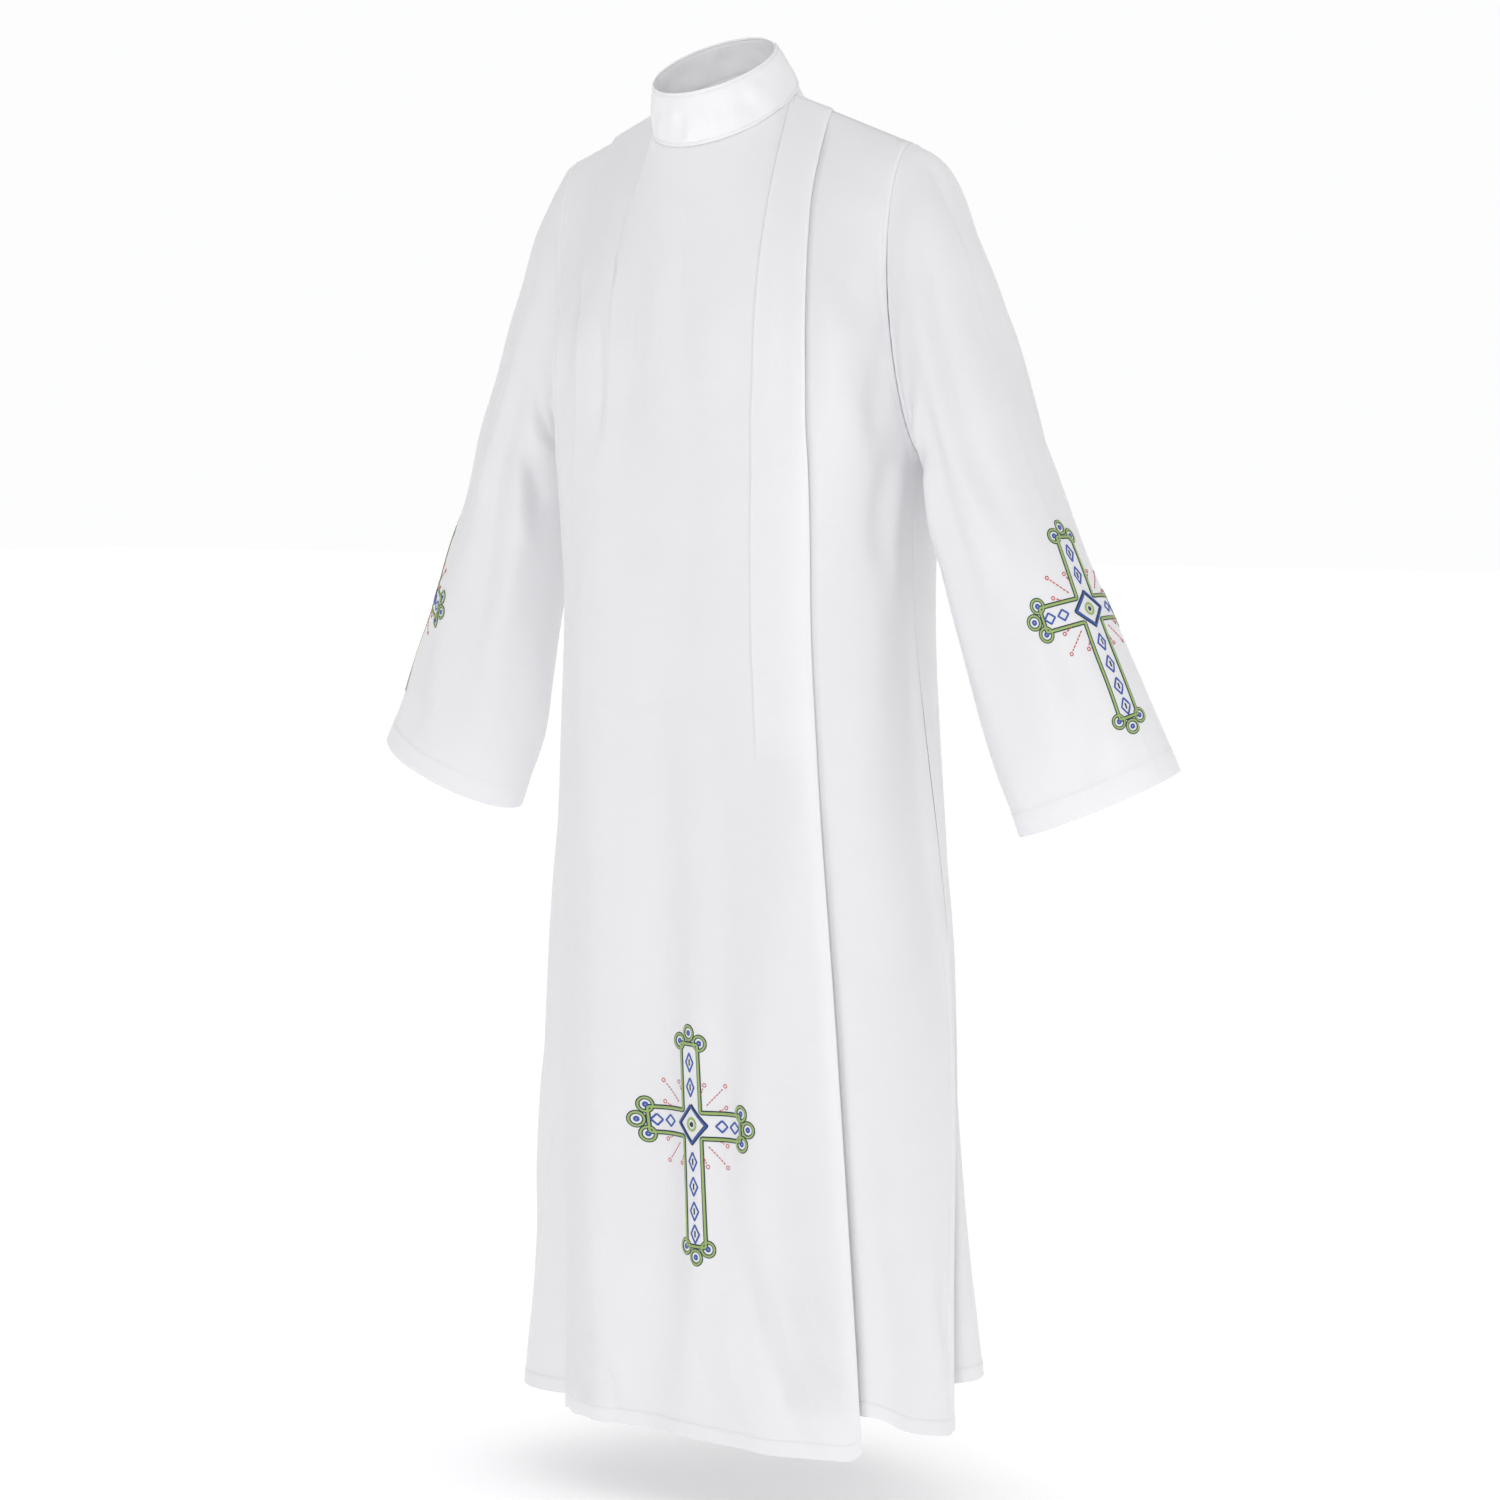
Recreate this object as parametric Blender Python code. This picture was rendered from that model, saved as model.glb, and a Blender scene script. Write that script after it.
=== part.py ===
"""Clergy robe in white cloth: stand collar, lapped front, one deep pleat, set-in sleeves, side vents.

Metres, +Z up. The robe is filled out as if worn: its front faces -Y and the wearer's left is +X.
The origin lies between the shoulders, where the wearer carries the robe.
Heights in the tables are counted up from the front hem.
"""
import math
from collections import namedtuple

import bmesh
import bpy
import numpy as np

# Driving sizes
CLOTH = 0.0012
SEAM_GAP = 0.0003
WHITE = (0.86, 0.86, 0.88)
SHOULDER_HEIGHT = 1.325
SHOULDER_TIP = (0.206, 0.009, 1.301)
UNDERARM_HEIGHT = 0.995
NECK_POINT_TURN = 107.0
VENT_HEIGHT = 0.50

# Tilted neck circle where the collar is sewn on, and the collar's free rim
Circle = namedtuple("Circle", "radius centre_y centre_height rise")
NECK = Circle(radius=0.075, centre_y=-0.018, centre_height=1.343, rise=0.042)
RIM = Circle(radius=0.0615, centre_y=-0.0395, centre_height=1.3855, rise=0.0325)
COLLAR_LAP_RISE = 0.0025
COLLAR_LAP_START = 47.0
COLLAR_RISE_START = 32.0
COLLAR_LAP_END = 107.0
COLLAR_RISE_END = 72.0

# Level sections of the body, hem to chest
Section = namedtuple("Section", "height half_width front back")
SECTIONS = [
    Section(0.00, 0.2605, -0.130, 0.176),
    Section(0.20, 0.2440, -0.124, 0.163),
    Section(0.45, 0.2255, -0.118, 0.154),
    Section(0.70, 0.2075, -0.115, 0.147),
    Section(0.90, 0.2030, -0.116, 0.143),
    Section(UNDERARM_HEIGHT, 0.2130, -0.117, 0.142),
]
SQUARENESS = 0.05

# Upright lines of the cloth. A line is numbered by where it ends at the top: 0 at the middle of the
# neck, 1 at the neck point, 2 up the side seam and the armhole, minus on the wearer's right.
# The turns are degrees round the body from the middle of the front, at the hem and the underarm.
Line = namedtuple("Line", "line hem_turn chest_turn")
FOLD_LINE = -1.60
EDGE_LINE = 1.34
UNDERLAP_LINE = 0.75
FRONT_LINES = [
    Line(-2.0, -90.0, -90.0),
    Line(FOLD_LINE, -28.0, -33.0),
    Line(-1.0, -16.0, -20.0),
    Line(0.0, 9.0, 5.0),
    Line(1.0, 36.0, 30.0),
    Line(EDGE_LINE, 48.5, 42.0),
    Line(2.0, 90.0, 90.0),
]
BACK_LINES = [
    Line(-2.0, -90.0, -90.0),
    Line(-1.0, -158.0, -158.0),
    Line(0.0, -180.0, -180.0),
    Line(1.0, -202.0, -202.0),
    Line(2.0, -270.0, -270.0),
]

# How far the cloth leans over and inward at its top end, degrees from upright
Lean = namedtuple("Lean", "line front back inward")
LEANS = [
    Lean(0.0, 8.0, 25.0, 0.0),
    Lean(0.8, 33.0, 46.0, 20.0),
    Lean(1.0, 41.0, 50.0, 22.0),
    Lean(1.4, 40.0, 48.0, 8.0),
    Lean(2.0, 38.0, 44.0, 0.0),
]
ARMHOLE_FRONT_DEPTH = 0.043
ARMHOLE_BACK_DEPTH = 0.062
ARMHOLE_HOLLOW = 0.006
ARMHOLE_SKEW = 0.15

# How far a seam's own direction tilts out to the side, from the shoulder tip to the underarm, and up,
# from the middle of the neck to its sides
SHOULDER_TILT = 0.34
UNDERARM_TILT = 0.70
NECK_TILT_MIDDLE = 0.75
NECK_TILT_SIDE = 1.60
NECK_TILT_FADE = 0.30

# Hem heights along the lines
Hem = namedtuple("Hem", "line height")
SIDE_HEM = [Hem(-2.0, 0.000), Hem(-1.78, 0.006), Hem(-1.5, 0.016), Hem(-1.0, 0.018)]
FRONT_HEM = [Hem(-1.5, 0.003), Hem(0.0, -0.003), Hem(1.3, -0.006)]
LEFT_HEM = [Hem(0.75, 0.040), Hem(1.4, 0.036), Hem(1.68, 0.016), Hem(2.0, 0.004)]
BACK_HEM = [Hem(-2.0, 0.050), Hem(0.0, 0.045), Hem(2.0, 0.050)]
CORNER_RISE = 0.007

# The pleat: the line where the cloth turns back under the front, and the room between its layers
PLEAT_TURN_LINE = -1.30
LAYER_ROOM = 0.0006
PLEAT_ROOM_AT_HEM = 0.006
PLEAT_PAST = 0.006
PLEAT_BLEND = 0.032

# The overlap at the wearer's left
LAP_WIDTH = 0.080
LAP_BLEND = 0.050
LAP_ROOM_AT_HEM = 0.007
LAP_ROOM_END = 1.2
NEAR_NECK_LINE = 1.15
NEAR_EDGE_LINE = EDGE_LINE - 0.06

# The side vents
VENT_EASE = 0.002
VENT_TUCK = 0.010
VENT_TUCK_GROWTH = 1.6
VENT_REACH = 0.016
VENT_REACH_START = 0.35
VENT_BLEND = 0.060

# Soft upright folds: middle line, half width in lines, depth at the hem, height where they end
Fold = namedtuple("Fold", "line half_width depth end")
FRONT_FOLDS = [
    Fold(-0.55, 0.45, -0.004, 0.75),
    Fold(0.55, 0.50, 0.005, 0.90),
    Fold(1.72, 0.22, -0.006, 0.55),
    Fold(-1.80, 0.20, -0.006, 0.55),
]
BACK_FOLDS = [
    Fold(-1.35, 0.30, -0.012, 0.95),
    Fold(-0.75, 0.40, 0.010, 0.90),
    Fold(0.05, 0.45, -0.011, 1.00),
    Fold(0.85, 0.40, 0.010, 0.85),
    Fold(1.40, 0.30, -0.011, 0.95),
]

# Slanted sections of a sleeve, armhole to cuff: outer and inner pole, middle depth and half depth
Cut = namedtuple("Cut", "outer_x outer_height inner_x inner_height middle_y half_depth")
SLEEVE_CUTS = [
    Cut(0.2065, 1.300, 0.2145, 0.995, 0.0165, 0.0515),
    Cut(0.2320, 1.278, 0.2180, 0.993, 0.022, 0.062),
    Cut(0.2580, 1.221, 0.2210, 0.988, 0.028, 0.070),
    Cut(0.2860, 1.146, 0.2250, 0.978, 0.031, 0.075),
    Cut(0.3180, 1.056, 0.2290, 0.958, 0.030, 0.075),
    Cut(0.3500, 0.978, 0.2360, 0.916, 0.029, 0.071),
    Cut(0.3850, 0.902, 0.2490, 0.848, 0.030, 0.065),
    Cut(0.4200, 0.826, 0.2690, 0.768, 0.034, 0.061),
    Cut(0.4560, 0.752, 0.2950, 0.690, 0.038, 0.058),
    Cut(0.4920, 0.683, 0.3225, 0.6185, 0.038, 0.054),
]
# The cuff's front edge hangs lower than its back edge by twice this, and the slant starts at this share
CUFF_SLANT = 0.009
CUFF_SLANT_START = 0.55
SLEEVE_ROWS = 14
SLEEVE_LEAVE = 0.0055
SLEEVE_LEAVE_TOP = 0.0011
SLEEVE_FIRST_ROW = 0.15
SLEEVE_HEAD_FADE = 0.25
ARMHOLE_STEPS = 10

BODY_ROWS = 12
SIDE_STEPS = 9
COLLAR_ROWS = 2
NECK_STEPS = 8
COLLAR_BULGE = 0.0015

TURN_SIDES = 4
STEP = 0.004


def smooth(rise):
    """Eased step from 0 to 1."""
    rise = np.clip(rise, 0.0, 1.0)
    return rise * rise * (3.0 - 2.0 * rise)


def through(places, values, at):
    """Smooth curve through a table's rows, level beyond its ends."""
    places = np.asarray(places, float)
    values = np.asarray(values, float)
    at = np.clip(np.asarray(at, float), places[0], places[-1])
    secants = np.abs(np.diff(values) / np.diff(places))
    steepest = 2.5 * np.minimum(np.append(secants, np.inf), np.append(np.inf, secants))
    slopes = np.clip(np.gradient(values, places), -steepest, steepest)
    low = np.clip(np.searchsorted(places, at, side="right") - 1, 0, len(places) - 2)
    span = places[low + 1] - places[low]
    t = (at - places[low]) / span
    start = values[low] * (1.0 + 2.0 * t) * (1.0 - t) ** 2
    end = values[low + 1] * t * t * (3.0 - 2.0 * t)
    bend = span * (slopes[low] * t * (1.0 - t) ** 2 - slopes[low + 1] * t * t * (1.0 - t))
    return start + end + bend


def column(rows, name):
    return [getattr(row, name) for row in rows]


def ring_point(turn, height):
    """Point of the body's level section at a turn round it, degrees from the front."""
    heights = column(SECTIONS, "height")
    half_width = through(heights, column(SECTIONS, "half_width"), height)
    front = through(heights, column(SECTIONS, "front"), height)
    back = through(heights, column(SECTIONS, "back"), height)
    turn = np.radians(turn)
    side = (np.sin(turn) + SQUARENESS * np.sin(3.0 * turn)) / (1.0 - SQUARENESS)
    ahead = (np.cos(turn) - SQUARENESS * np.cos(3.0 * turn)) / (1.0 - SQUARENESS)
    y = 0.5 * (front + back) - 0.5 * (back - front) * ahead
    return np.stack([half_width * side, y, height + 0.0 * side], axis=-1)


def circle_point(circle, turn):
    turn = np.radians(turn)
    return np.stack([
        circle.radius * np.sin(turn),
        circle.centre_y - circle.radius * np.cos(turn),
        circle.centre_height - circle.rise * np.cos(turn),
    ], axis=-1)


def armhole_point(turn, depth):
    """Right or left armhole for x > 0: turn 0 at the shoulder tip, 180 at the underarm."""
    turn = np.radians(turn)
    down = 0.5 * (1.0 - np.cos(turn))
    tip = np.asarray(SHOULDER_TIP)
    underarm = ring_point(90.0, UNDERARM_HEIGHT)
    point = tip + (underarm - tip) * down[..., None]
    point[..., 0] -= ARMHOLE_HOLLOW * np.sin(turn) ** 2
    point[..., 1] += depth * np.sin(turn) * (1.0 + ARMHOLE_SKEW * np.cos(turn))
    return point


def top_point(line, back):
    """Top end of a line of cloth: on the neck or the shoulder seam."""
    size = np.abs(line)
    neck_turn = NECK_POINT_TURN * np.minimum(size, 1.0)
    if back:
        neck_turn = 180.0 - (180.0 - NECK_POINT_TURN) * np.minimum(size, 1.0)
    neck = circle_point(NECK, neck_turn)
    share = np.clip(size - 1.0, 0.0, 1.0)[..., None]
    point = neck * (1.0 - share) + np.asarray(SHOULDER_TIP) * share
    point[..., 0] *= np.where(line < 0.0, -1.0, 1.0)
    return point


def line_turn(line, height, back):
    lines = BACK_LINES if back else FRONT_LINES
    at_hem = through(column(lines, "line"), column(lines, "hem_turn"), line)
    at_chest = through(column(lines, "line"), column(lines, "chest_turn"), line)
    share = smooth(height / UNDERARM_HEIGHT)
    return at_hem * (1.0 - share) + at_chest * share


def plain_yoke(line, low, rise, t, back):
    """Columns from the underarm level up to the neck and the shoulder seam."""
    top = top_point(line, back)
    reach = np.linalg.norm(top - low, axis=-1)[..., None]
    name = "back" if back else "front"
    lean = np.radians(through(column(LEANS, "line"), column(LEANS, name), np.abs(line)))
    toward = -1.0 if back else 1.0
    inward = np.radians(through(column(LEANS, "line"), column(LEANS, "inward"), np.abs(line)))
    end = np.stack([
        (top - low)[..., 0] / reach[..., 0] - np.sin(inward) * np.sign(line),
        toward * np.sin(lean),
        np.cos(lean),
    ], axis=-1)
    return (
        low * (1.0 + 2.0 * t) * (1.0 - t) ** 2
        + top * t * t * (3.0 - 2.0 * t)
        + reach * (rise * t * (1.0 - t) ** 2 - end * t * t * (1.0 - t))
    )


def ring_and_rise(line, height, back):
    point = ring_point(line_turn(line, height, back), height)
    under = height - STEP
    return point, (point - ring_point(line_turn(line, under, back), under)) / STEP


def body_point(line, level, hem, back):
    """Middle of the cloth. Level 0 is the hem, 1 the underarm and 2 the top end."""
    line, level, hem = np.broadcast_arrays(line, level, hem)
    line = line.astype(float)
    height = hem + (UNDERARM_HEIGHT - hem) * np.clip(level, 0.0, 1.0)
    t = np.clip(level - 1.0, 0.0, 1.0)
    low, rise = ring_and_rise(line, height, back)
    yoke = plain_yoke(line, low, rise, t[..., None], back)
    side = np.where(line < 0.0, -2.0, 2.0)
    side_low, side_rise = ring_and_rise(side, height, back)
    plain_side = plain_yoke(side, side_low, side_rise, t[..., None], back)
    depth = ARMHOLE_BACK_DEPTH if back else -ARMHOLE_FRONT_DEPTH
    armhole = armhole_point(np.degrees(np.arccos(2.0 * t - 1.0)), depth)
    armhole[..., 0] *= 0.5 * side
    near_side = smooth(np.abs(line) - 1.0)[..., None]
    yoke = yoke + near_side * (armhole - plain_side)
    return np.where(t[..., None] > 0.0, yoke, low)


def fold_depth(line, level, back):
    """Outward push of the soft upright folds."""
    push = 0.0 * (line + level)
    for fold in BACK_FOLDS if back else FRONT_FOLDS:
        across = 0.5 + 0.5 * np.cos(np.pi * np.clip((line - fold.line) / fold.half_width, -1.0, 1.0))
        push = push + fold.depth * across * smooth(1.0 - level / fold.end)
    return push


def body_frame(line, level, hem, back):
    """Middle of the cloth, the way along the rows and the outward normal."""
    point = body_point(line, level, hem, back)
    before = body_point(np.maximum(line - STEP, -2.0), level, hem, back)
    after = body_point(np.minimum(line + STEP, 2.0), level, hem, back)
    lower = body_point(line, np.maximum(level - STEP, 0.0), hem, back)
    upper = body_point(line, np.minimum(level + STEP, 2.0), hem, back)
    along = unit(after - before)
    normal = unit(np.cross(along, upper - lower))
    return point, along, -normal if back else normal


def unit(vectors):
    return vectors / np.linalg.norm(vectors, axis=-1, keepdims=True)


def seam_direction(line, back):
    """Way across the cloth at its top end, shared by the pieces that meet there."""
    size = np.abs(line)
    neck_turn = NECK_POINT_TURN * np.minimum(size, 1.0)
    if back:
        neck_turn = 180.0 - (180.0 - NECK_POINT_TURN) * np.minimum(size, 1.0)
    neck = collar_across(neck_turn)
    shoulder = armhole_across(0.0 * size, 1.0)
    share = smooth((size - 1.0) / NECK_TILT_FADE)[..., None]
    across = unit(neck * (1.0 - share) + shoulder * share)
    across[..., 0] *= np.where(line < 0.0, -1.0, 1.0)
    return across


def collar_across(turn):
    turn = np.radians(turn)
    up = NECK_TILT_MIDDLE + (NECK_TILT_SIDE - NECK_TILT_MIDDLE) * np.sin(turn) ** 2
    return unit(np.stack([np.sin(turn), -np.cos(turn), up], axis=-1))


def armhole_across(turn, front):
    """Way across the cloth at the left armhole; front is 1 on the front half and -1 on the back."""
    turn = np.radians(turn)
    out = SHOULDER_TILT + (UNDERARM_TILT - SHOULDER_TILT) * 0.5 * (1.0 - np.cos(turn))
    around = np.sqrt(1.0 - out ** 2)
    return np.stack([out, -front * around * np.sin(turn), around * np.cos(turn)], axis=-1)


def side_direction(level, side, back):
    """Way across the cloth up the side seam and the armhole."""
    t = np.clip(level - 1.0, 0.0, 1.0)
    at_armhole = armhole_across(np.degrees(np.arccos(2.0 * t - 1.0)), -1.0 if back else 1.0)
    share = np.where(level < 1.0 - STEP, 0.0, 1.0)[..., None]
    across = at_armhole * share + np.array([1.0, 0.0, 0.0]) * (1.0 - share)
    return across * np.array([side, 1.0, 1.0])


def on_seam(across, wanted):
    """Turns wall directions to those of the seam, where the cloth doesn't fold back."""
    facing = np.sum(wanted * across, axis=-1, keepdims=True)
    share = smooth((np.abs(facing) - 0.3) / 0.3)
    mixed = unit(wanted * np.sign(facing) * share + across * (1.0 - share))
    return mixed / np.maximum(0.6, np.sum(mixed * across, axis=-1, keepdims=True))


def cloth_grid(line, level, hem, off, shift, back, lifted=False):
    """Middle points and wall directions of a panel from its lines, levels and offsets."""
    line, level, hem, off, shift = np.broadcast_arrays(line, level, hem, off, shift)
    point, along, normal = body_frame(line, level, hem, back)
    off = off + fold_depth(line, level, back)
    middle = point + normal * off[..., None] + along * shift[..., None]
    own = grid_normals(middle)
    across = own.copy()
    sewn = on_seam(own[-1], seam_direction(line[-1], back))
    across[-1] = np.where(np.broadcast_to(lifted, line[-1].shape)[:, None], own[-1], sewn)
    for c in (0, -1):
        side = np.round(line[0, c] / 2.0)
        if abs(line[0, c]) > 2.0 - STEP:
            across[:, c] = on_seam(own[:, c], side_direction(level[:, c], side, back))
    return middle, across


def grid_normals(grid):
    """Outward normals of an open grid of rows up and columns round."""
    round_step = np.empty_like(grid)
    round_step[:, 1:-1] = unit(grid[:, 2:] - grid[:, 1:-1]) + unit(grid[:, 1:-1] - grid[:, :-2])
    round_step[:, 0] = grid[:, 1] - grid[:, 0]
    round_step[:, -1] = grid[:, -1] - grid[:, -2]
    up_step = np.empty_like(grid)
    up_step[1:-1] = grid[2:] - grid[:-2]
    up_step[0] = grid[1] - grid[0]
    up_step[-1] = grid[-1] - grid[-2]
    return unit(np.cross(round_step, up_step))


def drawn_in(grid, bottom=False, top=False, first=False, last=False):
    """Pulls the edges that are sewn to another piece back by half a seam gap."""
    grid = grid.copy()
    half = 0.5 * SEAM_GAP
    if bottom:
        grid[0] += unit(grid[1] - grid[0]) * half
    if top:
        grid[-1] += unit(grid[-2] - grid[-1]) * half
    if first:
        grid[:, 0] += unit(grid[:, 1] - grid[:, 0]) * half
    if last:
        grid[:, -1] += unit(grid[:, -2] - grid[:, -1]) * half
    return grid


def white_cloth(name):
    material = bpy.data.materials.new(name)
    material.use_nodes = True
    shader = material.node_tree.nodes["Principled BSDF"]
    shader.inputs["Base Color"].default_value = (*WHITE, 1.0)
    shader.inputs["Roughness"].default_value = 0.75
    shader.inputs["Metallic"].default_value = 0.0
    return material


def wall(name, middle, across, closed_round):
    """Closed wall of cloth about a grid of middle points, half its thickness each way."""
    rows, columns = middle.shape[:2]
    heights_to_origin = np.array([0.0, 0.0, -SHOULDER_HEIGHT])
    outer = middle + across * CLOTH / 2.0 + heights_to_origin
    inner = middle - across * CLOTH / 2.0 + heights_to_origin
    mesh = bpy.data.meshes.new(name)
    shape = bmesh.new()
    skins = []
    for skin in (outer, inner):
        skins.append([[shape.verts.new(skin[r, c]) for c in range(columns)] for r in range(rows)])
    out, inn = skins
    spans = columns if closed_round else columns - 1
    for r in range(rows - 1):
        for c in range(spans):
            d = (c + 1) % columns
            shape.faces.new((out[r][c], out[r][d], out[r + 1][d], out[r + 1][c]))
            shape.faces.new((inn[r][c], inn[r + 1][c], inn[r + 1][d], inn[r][d]))
    for c in range(spans):
        d = (c + 1) % columns
        shape.faces.new((out[0][d], out[0][c], inn[0][c], inn[0][d]))
        shape.faces.new((out[-1][c], out[-1][d], inn[-1][d], inn[-1][c]))
    if not closed_round:
        for r in range(rows - 1):
            shape.faces.new((out[r][0], out[r + 1][0], inn[r + 1][0], inn[r][0]))
            shape.faces.new((out[r + 1][-1], out[r][-1], inn[r][-1], inn[r + 1][-1]))
    bmesh.ops.triangulate(shape, faces=shape.faces[:])
    shape.to_mesh(mesh)
    shape.free()
    mesh.materials.append(white_cloth(name))
    mesh.shade_smooth()
    piece = bpy.data.objects.new(name, mesh)
    bpy.context.scene.collection.objects.link(piece)
    return piece


def side_lines(start):
    return np.linspace(start, 2.0, SIDE_STEPS + 1)


def levels():
    low = np.linspace(0.0, 1.0, BODY_ROWS + 1)
    high = 1.5 - 0.5 * np.cos(np.linspace(0.0, np.pi, ARMHOLE_STEPS + 1)[1:])
    return np.concatenate([low, high])[:, None]


def hem_line(rows, line):
    return through(column(rows, "line"), column(rows, "height"), line)


def row_lengths(points):
    """Distance along each row from its first point."""
    steps = np.linalg.norm(np.diff(points, axis=1), axis=-1)
    return np.concatenate([np.zeros((len(points), 1)), np.cumsum(steps, axis=1)], axis=1)


def vent_opening(level):
    """0 above the vent, 1 at the hem."""
    return np.clip(1.0 - level * UNDERARM_HEIGHT / VENT_HEIGHT, 0.0, 1.0)


def neck_lines():
    """Lines from the middle of the neck to the neck point."""
    return np.linspace(0.0, 1.0, NECK_STEPS + 1)


def spread(lines, level):
    return np.broadcast_to(np.asarray(lines, float), (len(level), len(lines)))


def front_panel():
    """From the right side seam, back under itself at the pleat, and on to the free edge."""
    level = levels()
    middle_of_pleat = 0.5 * (FOLD_LINE + PLEAT_TURN_LINE)
    under = [FOLD_LINE, middle_of_pleat, PLEAT_TURN_LINE]
    side = spread(np.concatenate([-side_lines(-FOLD_LINE)[::-1], under[1:]]), level)
    room = LAYER_ROOM + (PLEAT_ROOM_AT_HEM - LAYER_ROOM) * smooth(1.0 - level)
    layer = CLOTH + room
    side_hem = hem_line(SIDE_HEM, side)
    from_seam = row_lengths(body_point(side, level, side_hem, False))
    side_off = -VENT_EASE * vent_opening(level) * smooth(1.0 - from_seam / VENT_BLEND)

    around = np.radians(np.linspace(-90.0, 90.0, TURN_SIDES + 1))[1:-1]
    hidden = spread([PLEAT_TURN_LINE] * len(around) + under[::-1] + [FOLD_LINE] * len(around), level)
    height_in_turn = 0.5 * (1.0 + np.sin(around))
    width_of_turn = 0.5 * np.cos(around)
    in_layers = np.concatenate([height_in_turn, [1.0, 1.0, 1.0], 1.0 + height_in_turn])
    out_by = np.concatenate([width_of_turn, [0.0, 0.0, 0.0], -width_of_turn])
    hidden_hem = hem_line(SIDE_HEM, hidden) * (1.0 - 0.5 * in_layers)

    neck = neck_lines()
    main = np.concatenate([under, -neck[::-1], neck[1:], [NEAR_NECK_LINE, NEAR_EDGE_LINE, EDGE_LINE]])
    main = spread(main, level)
    main_hem = hem_line(FRONT_HEM, main)
    main_hem[:, [0, -1]] += CORNER_RISE
    from_fold = row_lengths(body_point(main, level, main_hem, False))
    to_edge = from_fold[:, -1:] - from_fold
    past_pleat = from_fold - from_fold[:, 2:3]
    pleat_lift = 2.0 * layer * smooth(1.0 - (past_pleat - PLEAT_PAST) / PLEAT_BLEND)
    lap_room = LAYER_ROOM + (LAP_ROOM_AT_HEM - LAYER_ROOM) * smooth(1.0 - level / LAP_ROOM_END)
    lap_lift = (CLOTH + lap_room) * smooth(1.0 - (to_edge - LAP_WIDTH) / LAP_BLEND)
    main_off = np.maximum(pleat_lift, lap_lift)

    line = np.concatenate([side, hidden, main], axis=1)
    hem = np.concatenate([side_hem, hidden_hem, main_hem], axis=1)
    off = np.concatenate([side_off, layer * in_layers, main_off], axis=1)
    shift = np.concatenate([0.0 * side, layer * out_by, 0.0 * main], axis=1)
    near_fold = main[0] < 0.5 * (FOLD_LINE + middle_of_pleat)
    lifted = np.concatenate([side[0] > 0.0, hidden[0] < 0.0, near_fold])
    middle, across = cloth_grid(line, level, hem, off, shift, False, lifted)
    middle = drawn_in(middle, top=True, first=True)
    wall("front", middle, across, False)


def front_left_panel():
    """Runs under the overlap and on to the left side seam."""
    level = levels()
    neck = neck_lines()
    neck = neck[neck >= UNDERLAP_LINE]
    line = spread(np.concatenate([neck, [NEAR_NECK_LINE], side_lines(EDGE_LINE)]), level)
    hem = hem_line(LEFT_HEM, line)
    lengths = row_lengths(body_point(line, level, hem, False))
    to_seam = lengths[:, -1:] - lengths
    off = -VENT_EASE * vent_opening(level) * smooth(1.0 - to_seam / VENT_BLEND)
    middle, across = cloth_grid(line, level, hem, off, 0.0, False)
    middle = drawn_in(middle, top=True, last=True)
    wall("front_left", middle, across, False)


def back_panel():
    """One piece, tucked behind both fronts at the vents."""
    level = levels()
    half = np.concatenate([neck_lines()[1:], [NEAR_NECK_LINE], side_lines(EDGE_LINE)])
    line = spread(np.concatenate([half[::-1], [0.0], -half]), level)
    hem = hem_line(BACK_HEM, line)
    lengths = row_lengths(body_point(line, level, hem, True))
    to_seam = np.minimum(lengths, lengths[:, -1:] - lengths)
    opening = vent_opening(level)
    off = -VENT_TUCK * smooth(opening * VENT_TUCK_GROWTH) * smooth(1.0 - to_seam / VENT_BLEND)
    shift = np.zeros(line.shape)
    reach = VENT_REACH * smooth((opening - VENT_REACH_START) / (1.0 - VENT_REACH_START))
    shift[:, :1] = reach
    shift[:, -1:] = -reach
    middle, across = cloth_grid(line, level, hem, off, shift, True)
    middle = drawn_in(middle, top=True, first=True, last=True)
    wall("back", middle, across, False)


def sleeve_point(share, turn):
    """Left sleeve. Share 0 is the armhole and 1 the cuff; turn 0 is the outer side, 90 the front."""
    places = np.linspace(0.0, 1.0, len(SLEEVE_CUTS))
    outer_x, outer_height, inner_x, inner_height, middle_y, half_depth = (
        through(places, column(SLEEVE_CUTS, name), share) for name in Cut._fields)
    turn = np.radians(turn)
    outward = 0.5 + 0.5 * np.cos(turn)
    slant = CUFF_SLANT * smooth((share - CUFF_SLANT_START) / (1.0 - CUFF_SLANT_START))
    x = inner_x + (outer_x - inner_x) * outward
    height = inner_height + (outer_height - inner_height) * outward - slant * np.sin(turn)
    y = middle_y - half_depth * np.sin(turn)
    return np.stack([x, y, height], axis=-1)


def sleeve_grid():
    """Left sleeve, armhole to cuff, and the way across the cloth at the armhole."""
    turn = np.linspace(0.0, 360.0, 2 * ARMHOLE_STEPS + 1)[None, :-1]
    rows = np.linspace(0.0, 1.0, SLEEVE_ROWS + 1)
    share = np.insert(rows, 1, SLEEVE_FIRST_ROW * rows[1])[:, None]
    grid = sleeve_point(share, turn)
    leave = SLEEVE_LEAVE_TOP + (SLEEVE_LEAVE - SLEEVE_LEAVE_TOP) * np.sin(0.5 * np.radians(turn))
    grid[1:, :, 0] += leave * (1.0 - share[1:]) ** 2
    folded = np.where(turn > 180.0, 360.0 - turn, turn)
    depth = np.where(turn > 180.0, ARMHOLE_BACK_DEPTH, -ARMHOLE_FRONT_DEPTH)
    fade = smooth(1.0 - share / SLEEVE_HEAD_FADE)[..., None]
    grid = grid + fade * (armhole_point(folded, depth) - sleeve_point(0.0, turn))
    return grid, armhole_across(folded[0], np.where(turn[0] > 180.0, -1.0, 1.0))


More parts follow.
